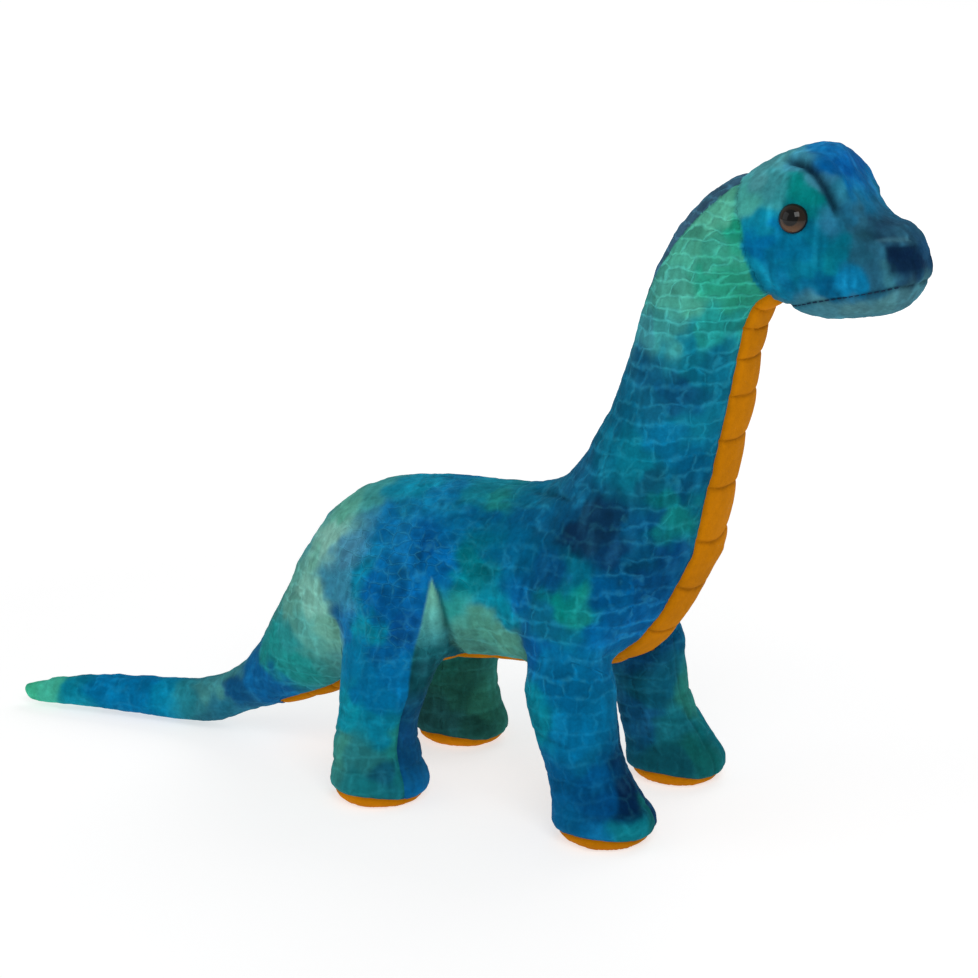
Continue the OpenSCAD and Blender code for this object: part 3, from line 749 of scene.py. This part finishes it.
def colours_with_painted_shading():
    """The colour of every point: blots with ragged soft edges, washed lighter and darker, with painted shade in
    the folds and under the brow and a painted highlight along the snout's ridge.
    """
    at = P * 1000
    at[:, 1] = -np.abs(at[:, 1])
    ragged = np.stack([noise(REST, 0.011, n) + 0.5 * noise(REST, 0.005, n + 9) - 0.75
                       for n in (21, 22, 23)], 1)
    at = at + 12 * ragged
    head_share = np.clip(0.5 + F["head"] / 0.0040, 0.0001, 0.9999)
    sets = []
    for inner in (False, True):
        total, weight = np.zeros((len(P), 3)), np.zeros(len(P))
        for dye, place, side in washed_blots():
            if inner != (side in ("r", "l")):
                continue
            w = 1 / (np.sum((at - place) ** 2, axis=1) / 100 + 0.06) ** 2.6
            on_head = slab(place * MM, HEAD_SEAM, SEAM_ALONG) > 0
            w = w * (head_share if on_head else 1 - head_share)
            if side:
                w = w * ((P[:, 1] < 0) if side in "rR" else (P[:, 1] > 0)) + 1e-12
            total += w[:, None] * dye * (1.25 if side == "l" else 1.0)
            weight += w
        sets.append(total / weight[:, None])
    colour, inner_colour = sets
    wash = noise(REST, 0.019, 31) * 0.6 + noise(REST, 0.008, 32) * 0.4
    leaf = np.clip((X / MM - np.interp(Z / MM, *LEAF_BACK)) / 1.2, 0, 1)
    leaf = leaf * np.clip((np.interp(Z / MM, *LEAF_FRONT) - X / MM) / 1.2, 0, 1)
    leaf = (leaf * (OUT > 0.022) * (Z > 0.060) * (Z < 0.124))[:, None]
    heights = np.array([8, 22, 38, 54, 64, 76, 84, 92, 102, 112, 124]) * MM
    tones = np.array([linear(code) for code in (
        "1a6aa4", "14507f", "124878", "144c70", "134a54", "154e58",
        "1d626a", "3a8588", "5aa8a0", "6fb8a4", "7ac8a4")])
    ragged_height = Z + 0.008 * (noise(REST, 0.012, 36) - 0.5)
    down = np.stack([np.interp(ragged_height, heights, tones[:, k]) for k in range(3)], 1)
    colour = colour + leaf * (down - colour)
    rear_right = (IN_LEG["rear_right"] | ((P[:, 1] < 0) & (X < 0.05)))[:, None]
    inner_colour = np.where(rear_right, down, inner_colour)
    front_left = np.clip((X - 0.085) / 0.02, 0, 1) * (P[:, 1] > 0) * np.clip((0.066 - P[:, 1]) / 0.012, 0, 1)
    front_left = (front_left * np.clip((0.09 - Z) / 0.02, 0, 1))[:, None]
    colour = colour + front_left * (inner_colour - colour)
    # print and painted shade: a dark navy patch in the nostril hollow
    nostril_print_and_shade = np.clip((X / MM + 4 * ragged[:, 0] - 242) / 2.5, 0, 1) * np.clip((305.5 - Z / MM) / 1.5, 0, 1)
    nostril_print_and_shade = nostril_print_and_shade * np.clip((Z / MM - 290) / 4, 0, 1) * np.clip((OUT / MM - 5) / 4, 0, 1)
    nostril_print_and_shade = (nostril_print_and_shade * ON_HEAD)[:, None]
    colour = colour + 0.85 * nostril_print_and_shade * (linear("0a2442") - colour)
    # painted highlight: a pale line along the lit ridge above the snout
    rim = bell(Z - 0.3073, 0.0009) * np.clip((X - 0.236) / 0.004, 0, 1) * ON_HEAD
    colour = colour + 0.45 * (rim * (OUT > 0.009))[:, None] * (linear("5a9ab0") - colour)
    streak = noise(REST * (1, 1, 0.22), 0.0019, 35)
    wisps = 1.5 * noise(REST * (1, 1, 0.6), 0.009, 37) + noise(REST * (1, 1, 0.3), 0.0026, 38)
    wisps = np.clip(wisps - 1.35, 0, 1)
    washed = (0.58 + 0.38 * wash + 0.26 * streak)[:, None]
    colour, inner_colour = colour * washed, inner_colour * washed
    slate = (ON_NECK & (F["nape"] > 0) & not_leg)[:, None]
    tone = (0.75 + 0.5 * noise(REST, 0.02, 33))[:, None]
    colour = np.where(slate, linear(SLATE_DYE) * tone * 0.9, colour)
    wisps = (wisps * (0.4 + 0.4 * ON_HEAD))[:, None] * (1 - nostril_print_and_shade)
    colour = colour * (1 + wisps) + 0.3 * wisps * (linear("3f93a8") - colour)
    inner_colour = inner_colour * (1 + wisps) + 0.3 * wisps * (linear("3f93a8") - inner_colour)
    # painted shade under the brow
    colour = colour + 0.75 * BROW_PAINTED_SHADE[:, None] * (linear("123250") - colour)
    # painted shade in the grooves, seams, creases and quilting
    painted_fold_shade = (1 - 0.75 * painted_crease_shade)[:, None]
    orange = linear(ORANGE_DYE) * (0.85 + 0.25 * noise(REST, 0.03, 34))[:, None]
    # the blues and teals hold hardly any red
    for c in (colour, inner_colour):
        c[:, 0] *= np.clip((c[:, 0] / (0.12 * c[:, 1] + 1e-6)) ** 2, 0.05, 1)
    return colour * painted_fold_shade, inner_colour * painted_fold_shade, orange * painted_fold_shade


# Height and the x of a rear leg's front seam, then of the fold in front of it, in millimetres
LEAF_BACK = ((55, 80, 88, 100, 112, 124), (9, 12.5, 14, 16.8, 19, 20))
LEAF_FRONT = ((68, 80, 92, 102, 113, 124), (25, 28, 28.5, 27.5, 25, 20))
DYE_AND_SHADING, INNER_DYE_AND_SHADE, ORANGE_AND_SHADE = colours_with_painted_shading()
# The printed net of scales: how fine its cells are and how clear its lines
FINE = np.clip(bell(np.sqrt((X + 0.002) ** 2 + (Z - 0.122) ** 2), 0.040) * 1.6, 0, 1)
NET = 0.55 + 0.45 * np.clip(1.8 * noise(REST, 0.03, 41) - 0.4, 0, 1)
NET = np.where(ON_HEAD, 0.10, NET) * np.where(ON_TAIL, 0.45, 1) * np.where(ANY_LEG & (Z < 0.075), 0.4, 1)
NET = NET * np.clip((noise(REST, 0.014, 42)) * 2.2 - 0.1, 0.3, 1)
NET = np.where(ON_NECK & (Z > 0.255), np.maximum(NET, 0.95), NET)


def rows():
    """Across and up the rows of the larger scales, on the body, neck and legs."""
    around_leg = np.zeros(len(P))
    for leg, at in LEGS.items():
        ahead, out = leg_frame(REST, at)
        around_leg = np.where(IN_LEG[leg], np.arctan2(ahead, out) * 0.024, around_leg)
    up = Z - 0.05 * X + 0.003 * noise(REST, 0.03, 44)
    up += 0.35 * np.maximum(up - 0.25, 0)
    across = {"body": X, "neck": np.radians(ANGLE) * 0.033, "leg": around_leg}
    return {part: np.stack([u, up, 0 * u], 1) for part, u in across.items()}


ROWS = rows()


# ---------- fabric ----------
class Nodes:
    """Adds shader nodes and joins them."""

    def __init__(self, name):
        self.material = bpy.data.materials.new(name)
        self.material.use_nodes = True
        self.tree = self.material.node_tree
        self.tree.nodes.clear()
        self.out = self.tree.nodes.new("ShaderNodeOutputMaterial")
        self.shader = self.tree.nodes.new("ShaderNodeBsdfPrincipled")
        self.tree.links.new(self.shader.outputs[0], self.out.inputs["Surface"])

    def add(self, kind, inputs=(), **settings):
        node = self.tree.nodes.new("ShaderNode" + kind)
        for key, value in settings.items():
            setattr(node, key, value)
        for key, value in dict(inputs).items():
            if isinstance(value, bpy.types.NodeSocket):
                self.tree.links.new(value, node.inputs[key])
            else:
                node.inputs[key].default_value = value
        return node

    def math(self, operation, a, b=0.0, clamp=False):
        return self.add("Math", {0: a, 1: b}, operation=operation, use_clamp=clamp).outputs[0]

    def mix(self, share, a, b, blend="MIX"):
        node = self.add("Mix", data_type="RGBA", blend_type=blend)
        for key, value in ((0, share), (6, a), (7, b)):
            if isinstance(value, bpy.types.NodeSocket):
                self.tree.links.new(value, node.inputs[key])
            else:
                node.inputs[key].default_value = value
        return node.outputs[2]

    def ramp(self, value, low, high):
        ends = {0: value, 1: low, 2: high, 3: 0.0, 4: 1.0}
        node = self.add("MapRange", ends, interpolation_type="SMOOTHSTEP")
        return node.outputs[0]

    def finish(self, colour, height, bump, roughness, sheen, tint=(1, 1, 1, 1), coat=0.0, specular=0.06):
        shader = self.shader
        if isinstance(colour, bpy.types.NodeSocket):
            self.tree.links.new(colour, shader.inputs["Base Color"])
        else:
            shader.inputs["Base Color"].default_value = colour
        shader.inputs["Roughness"].default_value = roughness
        shader.inputs["Sheen Weight"].default_value = sheen
        shader.inputs["Sheen Roughness"].default_value = 0.45
        shader.inputs["Sheen Tint"].default_value = tint
        shader.inputs["Specular IOR Level"].default_value = specular
        shader.inputs["Coat Weight"].default_value = coat
        if height is not None:
            node = self.add("Bump", {"Strength": 1.0, "Distance": bump, "Height": height})
            self.tree.links.new(node.outputs[0], shader.inputs["Normal"])
        return self.material


def rest_place(n):
    return n.add("Attribute", attribute_name="rest").outputs["Vector"]


def pile(n, place):
    """The height of short brushed pile."""
    fine = n.add("TexNoise", {"Vector": place, "Scale": 1400.0, "Detail": 2.0}).outputs[0]
    tufts = n.add("TexNoise", {"Vector": place, "Scale": 380.0, "Detail": 3.0}).outputs[0]
    return n.math("ADD", n.math("MULTIPLY", fine, 0.5), tufts)


def printed_plush():
    """Short pile, dyed in blots with painted shade and highlight, with a printed net of pale lines between scales.
    """
    n = Nodes("printed_plush")
    place = rest_place(n)
    dye = n.add("Attribute", attribute_name="dye").outputs["Color"]
    grain = n.add("SeparateColor", {0: n.add("Attribute", attribute_name="grain").outputs["Color"]})
    fine, net = grain.outputs[0], grain.outputs[1]
    warp = n.add("TexNoise", {"Vector": place, "Scale": 90.0, "Detail": 2.0}).outputs["Color"]
    warped = n.add("VectorMath", {0: place, 1: n.add("VectorMath", {0: warp, 1: (0.006, 0.006, 0.006)},
                   operation="MULTIPLY").outputs[0]}, operation="ADD").outputs[0]
    spread = n.add("Mapping", {"Vector": warped, "Scale": (132, 132, 190)}, vector_type="POINT").outputs[0]
    edge = n.add("TexVoronoi", {"Vector": spread, "Scale": 1.0, "Randomness": 0.7},
                 feature="DISTANCE_TO_EDGE").outputs["Distance"]
    cell = n.add("TexVoronoi", {"Vector": spread, "Scale": 1.0, "Randomness": 0.7})
    rows = n.add("VectorMath", {0: n.add("Attribute", attribute_name="rows").outputs["Vector"],
                 1: n.add("VectorMath", {0: warp, 1: (0.017, 0.010, 0)}, operation="MULTIPLY").outputs[0]},
                 operation="ADD").outputs[0]
    brick = n.add("TexBrick", {"Vector": rows, "Color1": (0, 0, 0, 1), "Color2": (1, 1, 1, 1),
                               "Mortar": (0.4, 0.4, 0.4, 1), "Scale": 1.0,
                               "Mortar Size": 0.0020, "Mortar Smooth": 1.0, "Brick Width": 0.0150,
                               "Row Height": 0.0085})

    def either(small, large):
        coarse = n.math("SUBTRACT", 1.0, fine)
        return n.math("ADD", n.math("MULTIPLY", small, fine), n.math("MULTIPLY", large, coarse))

    line = either(n.math("SUBTRACT", 1.0, n.ramp(edge, 0.0, 0.16)), brick.outputs["Fac"])
    shade = either(n.add("SeparateColor", {0: cell.outputs["Color"]}).outputs[0],
                   n.add("SeparateColor", {0: brick.outputs["Color"]}).outputs[0])
    middle = either(n.ramp(cell.outputs["Distance"], 0.1, 0.7), brick.outputs["Fac"])
    blur = n.add("TexNoise", {"Vector": place, "Scale": 260.0, "Detail": 2.0}).outputs[0]
    drawn = n.math("MULTIPLY", line, n.ramp(blur, 0.32, 0.62))
    mottle = n.add("TexNoise", {"Vector": place, "Scale": 160.0, "Detail": 4.0, "Roughness": 0.6}).outputs[0]
    grit = n.add("TexNoise", {"Vector": place, "Scale": 620.0, "Detail": 2.0}).outputs[0]
    tone = n.math("ADD", 0.50, n.math("ADD", n.math("MULTIPLY", mottle, 0.6), n.math("MULTIPLY", grit, 0.4)))
    scale_tone = n.math("ADD", n.math("MULTIPLY", shade, 0.36), n.math("MULTIPLY", middle, 0.50))
    contrast = n.math("MULTIPLY", n.math("SUBTRACT", scale_tone, 0.36), net)
    tone = n.math("MULTIPLY", tone, n.math("ADD", 1.0, contrast))
    toned = n.add("VectorMath", {0: dye, "Scale": tone}, operation="SCALE").outputs[0]
    pale = n.mix(0.5, toned, (0.05, 0.36, 0.42, 1))
    colour = n.mix(n.math("MULTIPLY", n.math("MULTIPLY", drawn, net), 0.38), toned, pale)
    height = n.math("ADD", n.math("MULTIPLY", pile(n, place), 0.35),
                    n.math("MULTIPLY", n.math("MULTIPLY", n.math("SUBTRACT", 1.0, line), net), 0.6))
    return n.finish(colour, height, 0.0012, 0.85, 0.07, (0.15, 0.7, 1, 1), specular=0.02)


def orange_fabric():
    n = Nodes("orange_fabric")
    place = rest_place(n)
    # the orange dye with painted shade in its grooves
    dye = n.add("Attribute", attribute_name="dye").outputs["Color"]
    mottle = n.add("TexNoise", {"Vector": place, "Scale": 220.0, "Detail": 3.0}).outputs[0]
    tone = n.math("ADD", 0.84, n.math("MULTIPLY", mottle, 0.32))
    toned = n.add("VectorMath", {0: dye, "Scale": tone}, operation="SCALE").outputs[0]
    return n.finish(toned, pile(n, place), 0.0003, 0.85, 0.05, (1, 0.6, 0.1, 1), specular=0.02)


PLUSH = printed_plush()
ORANGE_FABRIC = orange_fabric()


# ---------- pieces of the skin ----------
def triangles():
    """Each face as two triangles, split along a cut where one runs corner to corner."""
    names = [k for k in F]
    along_second = np.zeros(len(Q), bool)
    for name in names:
        f = np.sign(F[name][Q])
        mixed = (f.max(1) > 0) & (f.min(1) < 0)
        along_second |= mixed & (f[:, 1] == 0) & (f[:, 3] == 0)
    a, b, c, d = Q.T
    first = np.where(along_second[:, None], np.stack([a, b, d], 1), np.stack([a, b, c], 1))
    second = np.where(along_second[:, None], np.stack([b, c, d], 1), np.stack([a, c, d], 1))
    return np.concatenate([first, second])


T = triangles()
SIDE = {name: f[T].sum(1) > 0 for name, f in F.items()}


def vector_attribute(mesh, name, values):
    """Store a vector at each point of a mesh."""
    data = mesh.attributes.new(name, "FLOAT_VECTOR", "POINT").data
    data.foreach_set("vector", np.array(values, np.float32).ravel())


def skin_piece(name, where, material, nodes, bodies):
    used, index = np.unique(T[where], return_inverse=True)
    tris = index.reshape(-1, 3)
    mesh = bpy.data.meshes.new(name)
    mesh.vertices.add(len(used))
    mesh.vertices.foreach_set("co", P[used].astype(np.float32).ravel())
    mesh.loops.add(len(tris) * 3)
    mesh.loops.foreach_set("vertex_index", tris.astype(np.int32).ravel())
    mesh.polygons.add(len(tris))
    mesh.polygons.foreach_set("loop_start", np.arange(0, len(tris) * 3, 3, dtype=np.int32))
    mesh.update(calc_edges=True)
    mesh.validate()
    # each point's dye with its painted shade, and on the plush its painted highlight
    dye = (ORANGE_AND_SHADE if material is ORANGE_FABRIC else INNER_DYE_AND_SHADE if name.endswith("_inner") else DYE_AND_SHADING)[used]
    ones = np.ones((len(used), 1))
    for attribute, values in (("dye", np.hstack([dye, ones])),
                              ("grain", np.hstack([FINE[used, None], NET[used, None], ones, ones]))):
        made = mesh.attributes.new(attribute, "FLOAT_COLOR", "POINT")
        made.data.foreach_set("color", values.astype(np.float32).ravel())
    vector_attribute(mesh, "rest", REST[used])
    on_neck = name.startswith(("neck", "nape", "shoulder"))
    place = ROWS["leg" if "_leg_" in name else "neck" if on_neck else "body"]
    vector_attribute(mesh, "rows", place[used])
    mesh.materials.append(material)
    mesh.shade_smooth()
    mesh.normals_split_custom_set_from_vertices(N[used].astype(np.float32))
    obj = bpy.data.objects.new(name, mesh)
    bpy.context.scene.collection.objects.link(obj)
    if len(bodies) == 1:
        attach(obj, bodies[0])
    else:
        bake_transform(obj)
    if nodes:
        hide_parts(*nodes)
    return obj


def across(a, b, place, along, before, after):
    """The two bodies of a joint, and two places before and after it along the given way."""
    along = np.array(along, float)
    return (a, b, tuple(place - before * along), tuple(place + after * along))


any_leg = np.any([SIDE[leg] for leg in LEGS], axis=0)
head = SIDE["head"]
tail = ~SIDE["rump"] & ~any_leg & ~head
tip_zone = tail & ~SIDE["tail_half"]
root_zone = tail & SIDE["tail_half"]
neck = SIDE["neck_low"] & ~head & ~any_leg & SIDE["rump"]
low_zone = neck & ~SIDE["neck_mid"]
top_zone = neck & SIDE["neck_mid"]
torso = ~(any_leg | head | tail | neck)
left = SIDE["left"]
TAIL_AHEAD = np.array([1.0, 0, 0])
tip_bend = across("tail_end", "tail_root", TAIL_HALF, TAIL_AHEAD, 0.020, 0.020)
root_bend = across("tail_root", "torso", TAIL_ROOT, TAIL_AHEAD, 0.020, 0.018)
low_bend = across("torso", "neck", NECK_ROOT, NECK_ALONG, 0.021, 0.021)
top_bend = across("neck", "head", HEAD_SEAM, SEAM_ALONG, 0.036, -0.001)
for side, mask in (("right", ~left), ("left", left)):
    skin_piece(f"tail_end_skin_{side}", tip_zone & mask, PLUSH,
               [f"tail_end_{side}", "tail_end_stuffing"], tip_bend)
    skin_piece(f"tail_root_skin_{side}", root_zone & mask, PLUSH,
               [f"tail_root_{side}", "tail_root_stuffing"], root_bend)
    skin_piece(f"body_skin_{side}", torso & mask & ~SIDE["belly"], PLUSH,
               [f"body_side_{side}", "torso_stuffing"], ["torso"])
    skin_piece(f"shoulder_skin_{side}", low_zone & mask & ~SIDE["belly"] & ~SIDE["nape"], PLUSH,
               [], low_bend)
    skin_piece(f"neck_skin_{side}", top_zone & mask & ~SIDE["belly"] & ~SIDE["nape"], PLUSH,
               [f"neck_side_{side}", "neck_stuffing"], top_bend)
    skin_piece(f"cheek_skin_{side}", head & mask & ~SIDE["crown"] & ~SIDE["jaw"], PLUSH,
               [f"cheek_{side}", "head_stuffing"], ["head"])
skin_piece("belly_skin", torso & SIDE["belly"], ORANGE_FABRIC, ["belly_panel"], ["torso"])
skin_piece("chest_skin", low_zone & SIDE["belly"], ORANGE_FABRIC, [], low_bend)
skin_piece("throat_skin", top_zone & SIDE["belly"], ORANGE_FABRIC, ["throat_panel"], top_bend)
skin_piece("nape_skin_low", low_zone & SIDE["nape"], PLUSH, [], low_bend)
skin_piece("nape_skin", top_zone & SIDE["nape"], PLUSH, ["nape_strip"], top_bend)
skin_piece("crown_skin", head & SIDE["crown"], PLUSH, ["crown_gusset"], ["head"])
skin_piece("jaw_skin", head & SIDE["jaw"] & ~SIDE["crown"], PLUSH, ["jaw_panel"], ["head"])
for leg, at in LEGS.items():
    own = SIDE[leg]
    place, down = LEG_CUT[at["front"]]
    start = np.array([at["pivot"][0], place[0] * MM * at["side"], place[1] * MM])
    end = start + 0.036 * np.array([0, down[0] * at["side"], down[1]])
    bend = ("torso", f"{leg}_leg", tuple(start), tuple(end))
    outer, sole = SIDE[leg + "_outer"], SIDE[leg + "_sole"]
    skin_piece(f"{leg}_leg_skin_outer", own & outer & ~sole, PLUSH,
               [f"{leg}_leg_outer", f"{leg}_leg_stuffing"], bend)
    skin_piece(f"{leg}_leg_skin_inner", own & ~outer & ~sole, PLUSH, [f"{leg}_leg_inner"], bend)
    skin_piece(f"{leg}_sole_skin", own & sole, ORANGE_FABRIC, [f"{leg}_sole"], bend)


# ---------- eyes ----------
def eye_material():
    """A brown iris round a dark pupil, under a clear glossy dome."""
    n = Nodes("glossy_eye")
    ring = n.add("Attribute", attribute_name="ring").outputs["Fac"]
    low = n.add("Attribute", attribute_name="low").outputs["Fac"]
    place = rest_place(n)
    streak = n.add("TexNoise", {"Vector": place, "Scale": 900.0, "Detail": 3.0}).outputs[0]
    iris = n.mix(n.ramp(low, 0.05, 0.95), (0.014, 0.008, 0.004, 1), (0.13, 0.058, 0.022, 1))
    iris = n.mix(n.math("MULTIPLY", streak, 0.35), iris, (0.030, 0.016, 0.008, 1))
    eye = n.mix(n.ramp(ring, 0.50, 0.60), (0.002, 0.002, 0.002, 1), iris)
    eye = n.mix(n.ramp(ring, 0.86, 0.97), eye, (0.010, 0.007, 0.006, 1))
    material = n.finish(eye, None, 0, 0.06, 0.0, coat=0.15, specular=0.22)
    n.shader.inputs["Coat Roughness"].default_value = 0.02
    return material


def eye(name, side, material):
    """A domed safety eye on the cheek, seen as a shallow cap with a rolled rim."""
    tilt = math.radians(14)
    centre = np.array([200.2, 29.6 * side, 316]) * MM
    out = np.array([0, math.cos(tilt) * side, math.sin(tilt)])
    ahead = np.array([1.0, 0, 0])
    up = np.cross(ahead, out) * side
    up = up if up[2] > 0 else -up
    profile = [(0, 5.2), (1.5, 5.08), (3, 4.65), (4.4, 3.9), (5.6, 2.9), (6.5, 1.8), (6.95, 0.9), (7.05, 0.2),
               (6.9, -0.6), (5.5, -1.4), (2, -2.2), (2, -8), (0, -8)]
    around = 48
    points, ring, low = [], [], []
    for r, h in profile:
        for k in range(1 if r == 0 else around):
            a = 2 * math.pi * k / around
            flat = ahead * math.cos(a) + up * math.sin(a)
            points.append(centre + (flat * r + out * (h + 0.6)) * MM)
            ring.append(r / 7.05 if h > 0 else 1.0)
            low.append(-math.sin(a) * r / 7.05)
    faces, base = [], 0
    sizes = [1 if r == 0 else around for r, h in profile]
    for s, e in zip(sizes, sizes[1:]):
        for k in range(around):
            j = (k + 1) % around
            if s == 1:
                faces.append((base, base + 1 + k, base + 1 + j))
            elif e == 1:
                faces.append((base + k, base + s, base + j))
            else:
                faces.append((base + k, base + s + k, base + s + j, base + j))
        base += s
    obj = new_object(name, points, faces)
    mesh = obj.data
    for label, values in (("ring", ring), ("low", low)):
        mesh.attributes.new(label, "FLOAT", "POINT").data.foreach_set("value", np.array(values, np.float32))
    vector_attribute(mesh, "rest", points)
    bm = bmesh.new()
    bm.from_mesh(mesh)
    bmesh.ops.recalc_face_normals(bm, faces=bm.faces)
    bm.to_mesh(mesh)
    bm.free()
    mesh.materials.append(material)
    mesh.shade_smooth()
    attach(obj, "head")
    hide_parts(name.replace("dome", "eye"))
    return obj


EYE = eye_material()
for side_name, side in (("right", -1), ("left", 1)):
    eye(f"dome_{side_name}", side, EYE)


def plain(name, colour, roughness):
    n = Nodes(name)
    place = n.add("TexCoord").outputs["Object"]
    mottle = n.add("TexNoise", {"Vector": place, "Scale": 300.0, "Detail": 2.0}).outputs[0]
    dark = tuple(0.8 * c for c in colour[:3]) + (1,)
    return n.finish(n.mix(mottle, dark, colour), mottle, 0.0001, roughness, 0.0)


WASHER = plain("moulded_washer", (0.75, 0.74, 0.70, 1), 0.45)
THREAD = plain("dark_thread", (0.012, 0.035, 0.075, 1), 0.8)
for side_name in ("right", "left"):
    washer = frame["nodes"][f"eye_washer_{side_name}"]
    washer.hide_render = False
    washer.hide_viewport = False
    washer.data.materials.clear()
    washer.data.materials.append(WASHER)


# ---------- mouth stitches ----------
def surface_height(points, x, z, side):
    """How far out the cheek lies at a place in the side view."""
    near_by = ON_HEAD & (P[:, 1] * side > 0.004)
    d = (P[near_by, 0] - x) ** 2 + (P[near_by, 2] - z) ** 2
    return P[near_by][np.argmin(d), 1]


def stitch_nodes():
    """Short stitches at even spacing along a curve."""
    group = bpy.data.node_groups.new("stitches_on_a_line", "GeometryNodeTree")
    face = group.interface
    face.new_socket("Geometry", in_out="INPUT", socket_type="NodeSocketGeometry")
    for name, value in (("Spacing", 0.0030), ("Stitch length", 0.0019), ("Thread radius", 0.00033)):
        face.new_socket(name, in_out="INPUT", socket_type="NodeSocketFloat").default_value = value
    face.new_socket("Thread", in_out="INPUT", socket_type="NodeSocketMaterial")
    face.new_socket("Geometry", in_out="OUTPUT", socket_type="NodeSocketGeometry")
    make = lambda kind: group.nodes.new("GeometryNode" + kind)
    start, end = group.nodes.new("NodeGroupInput"), group.nodes.new("NodeGroupOutput")
    curve, points, stitch = make("MeshToCurve"), make("CurveToPoints"), make("MeshCylinder")
    place, real, paint = make("InstanceOnPoints"), make("RealizeInstances"), make("SetMaterial")
    points.mode = "LENGTH"
    stitch.inputs["Vertices"].default_value = 8
    join = lambda a, b: group.links.new(a, b)
    join(start.outputs["Geometry"], curve.inputs[0])
    join(curve.outputs[0], points.inputs["Curve"])
    join(start.outputs["Spacing"], points.inputs["Length"])
    join(start.outputs["Thread radius"], stitch.inputs["Radius"])
    join(start.outputs["Stitch length"], stitch.inputs["Depth"])
    join(points.outputs["Points"], place.inputs["Points"])
    join(stitch.outputs["Mesh"], place.inputs["Instance"])
    align = group.nodes.new("FunctionNodeAlignRotationToVector")
    align.axis = "Z"
    join(points.outputs["Tangent"], align.inputs["Vector"])
    join(align.outputs[0], place.inputs["Rotation"])
    join(place.outputs[0], real.inputs[0])
    join(real.outputs[0], paint.inputs["Geometry"])
    join(start.outputs["Thread"], paint.inputs["Material"])
    join(paint.outputs[0], end.inputs[0])
    return group


def mouth_thread():
    points, edges = [], []
    line = np.array(MOUTH_LINE[2:7], float) * MM
    reach = np.concatenate([[0], np.cumsum(np.linalg.norm(np.diff(line, axis=0), axis=1))])
    for side in (-1, 1):
        for k, t in enumerate(np.linspace(0, reach[-1], 40)):
            x, z = np.interp(t, reach, line[:, 0]), np.interp(t, reach, line[:, 1])
            if k:
                edges.append((len(points) - 1, len(points)))
            points.append((x, surface_height(P, x, z, side) + 0.0001 * side, z))
    mesh = bpy.data.meshes.new("mouth_line")
    mesh.from_pydata(points, edges, [])
    obj = bpy.data.objects.new("mouth_line", mesh)
    bpy.context.scene.collection.objects.link(obj)
    modifier = obj.modifiers.new("stitches", "NODES")
    modifier.node_group = stitch_nodes()
    for item in modifier.node_group.interface.items_tree:
        if item.item_type == "SOCKET" and item.in_out == "INPUT" and item.name == "Thread":
            modifier[item.identifier] = THREAD
    made = bpy.data.meshes.new_from_object(obj.evaluated_get(bpy.context.evaluated_depsgraph_get()))
    bpy.data.objects.remove(obj)
    made.name = "mouth_thread"
    done = bpy.data.objects.new("mouth_thread", made)
    bpy.context.scene.collection.objects.link(done)
    made.shade_smooth()
    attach(done, "head")
    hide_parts("mouth_stitch")


mouth_thread()


# ---------- studio ----------
def studio():
    scene = bpy.context.scene
    floor_mesh = bpy.data.meshes.new("floor")
    floor_mesh.from_pydata([(-4, -4, 0), (4, -4, 0), (4, 4, 0), (-4, 4, 0)], [], [(0, 1, 2, 3)])
    floor = bpy.data.objects.new("floor", floor_mesh)
    scene.collection.objects.link(floor)
    n = Nodes("glowing_floor")
    floor_mesh.materials.append(n.finish((0.5, 0.5, 0.5, 1), None, 0, 0.9, 0.0))
    n.shader.inputs["Emission Color"].default_value = (1, 1, 1, 1)
    # painted light: the floor glows though it is no lamp, more weakly near the toy, which leaves a dimmer patch
    # round it
    place = n.add("TexCoord").outputs["Object"]
    away = n.add("VectorMath", {0: place}, operation="LENGTH").outputs["Value"]
    glow = n.add("MapRange", {0: away, 1: 0.4, 2: 1.6, 3: 0.62, 4: 0.84}).outputs[0]
    n.tree.links.new(glow, n.shader.inputs["Emission Strength"])
    world = bpy.data.worlds.new("studio")
    scene.world = world
    world.use_nodes = True
    tree = world.node_tree
    ground = tree.nodes["Background"]
    ground.inputs[0].default_value = (1, 1, 1, 1)
    seen = tree.nodes.new("ShaderNodeLightPath").outputs["Is Camera Ray"]
    strength = tree.nodes.new("ShaderNodeMapRange")
    strength.inputs[3].default_value = 0.38
    strength.inputs[4].default_value = 1.0
    tree.links.new(seen, strength.inputs[0])
    tree.links.new(strength.outputs[0], ground.inputs[1])
    for name, place, size, power in (
        ("key_light", (0.9, -1.1, 1.5), 1.0, 13), ("fill_light", (-1.3, -1.0, 0.9), 1.4, 5),
        ("back_light", (0.1, 1.3, 1.2), 1.2, 8),
    ):
        data = bpy.data.lights.new(name, "AREA")
        data.size, data.energy = size, power
        lamp = bpy.data.objects.new(name, data)
        scene.collection.objects.link(lamp)
        lamp.location = place
        aim = Vector((0, 0, 0.15)) - Vector(place)
        lamp.rotation_mode = "QUATERNION"
        lamp.rotation_quaternion = aim.to_track_quat("-Z", "Y")
    scene.view_settings.view_transform = "Standard"
    scene.render.resolution_x = scene.render.resolution_y = 978


studio()
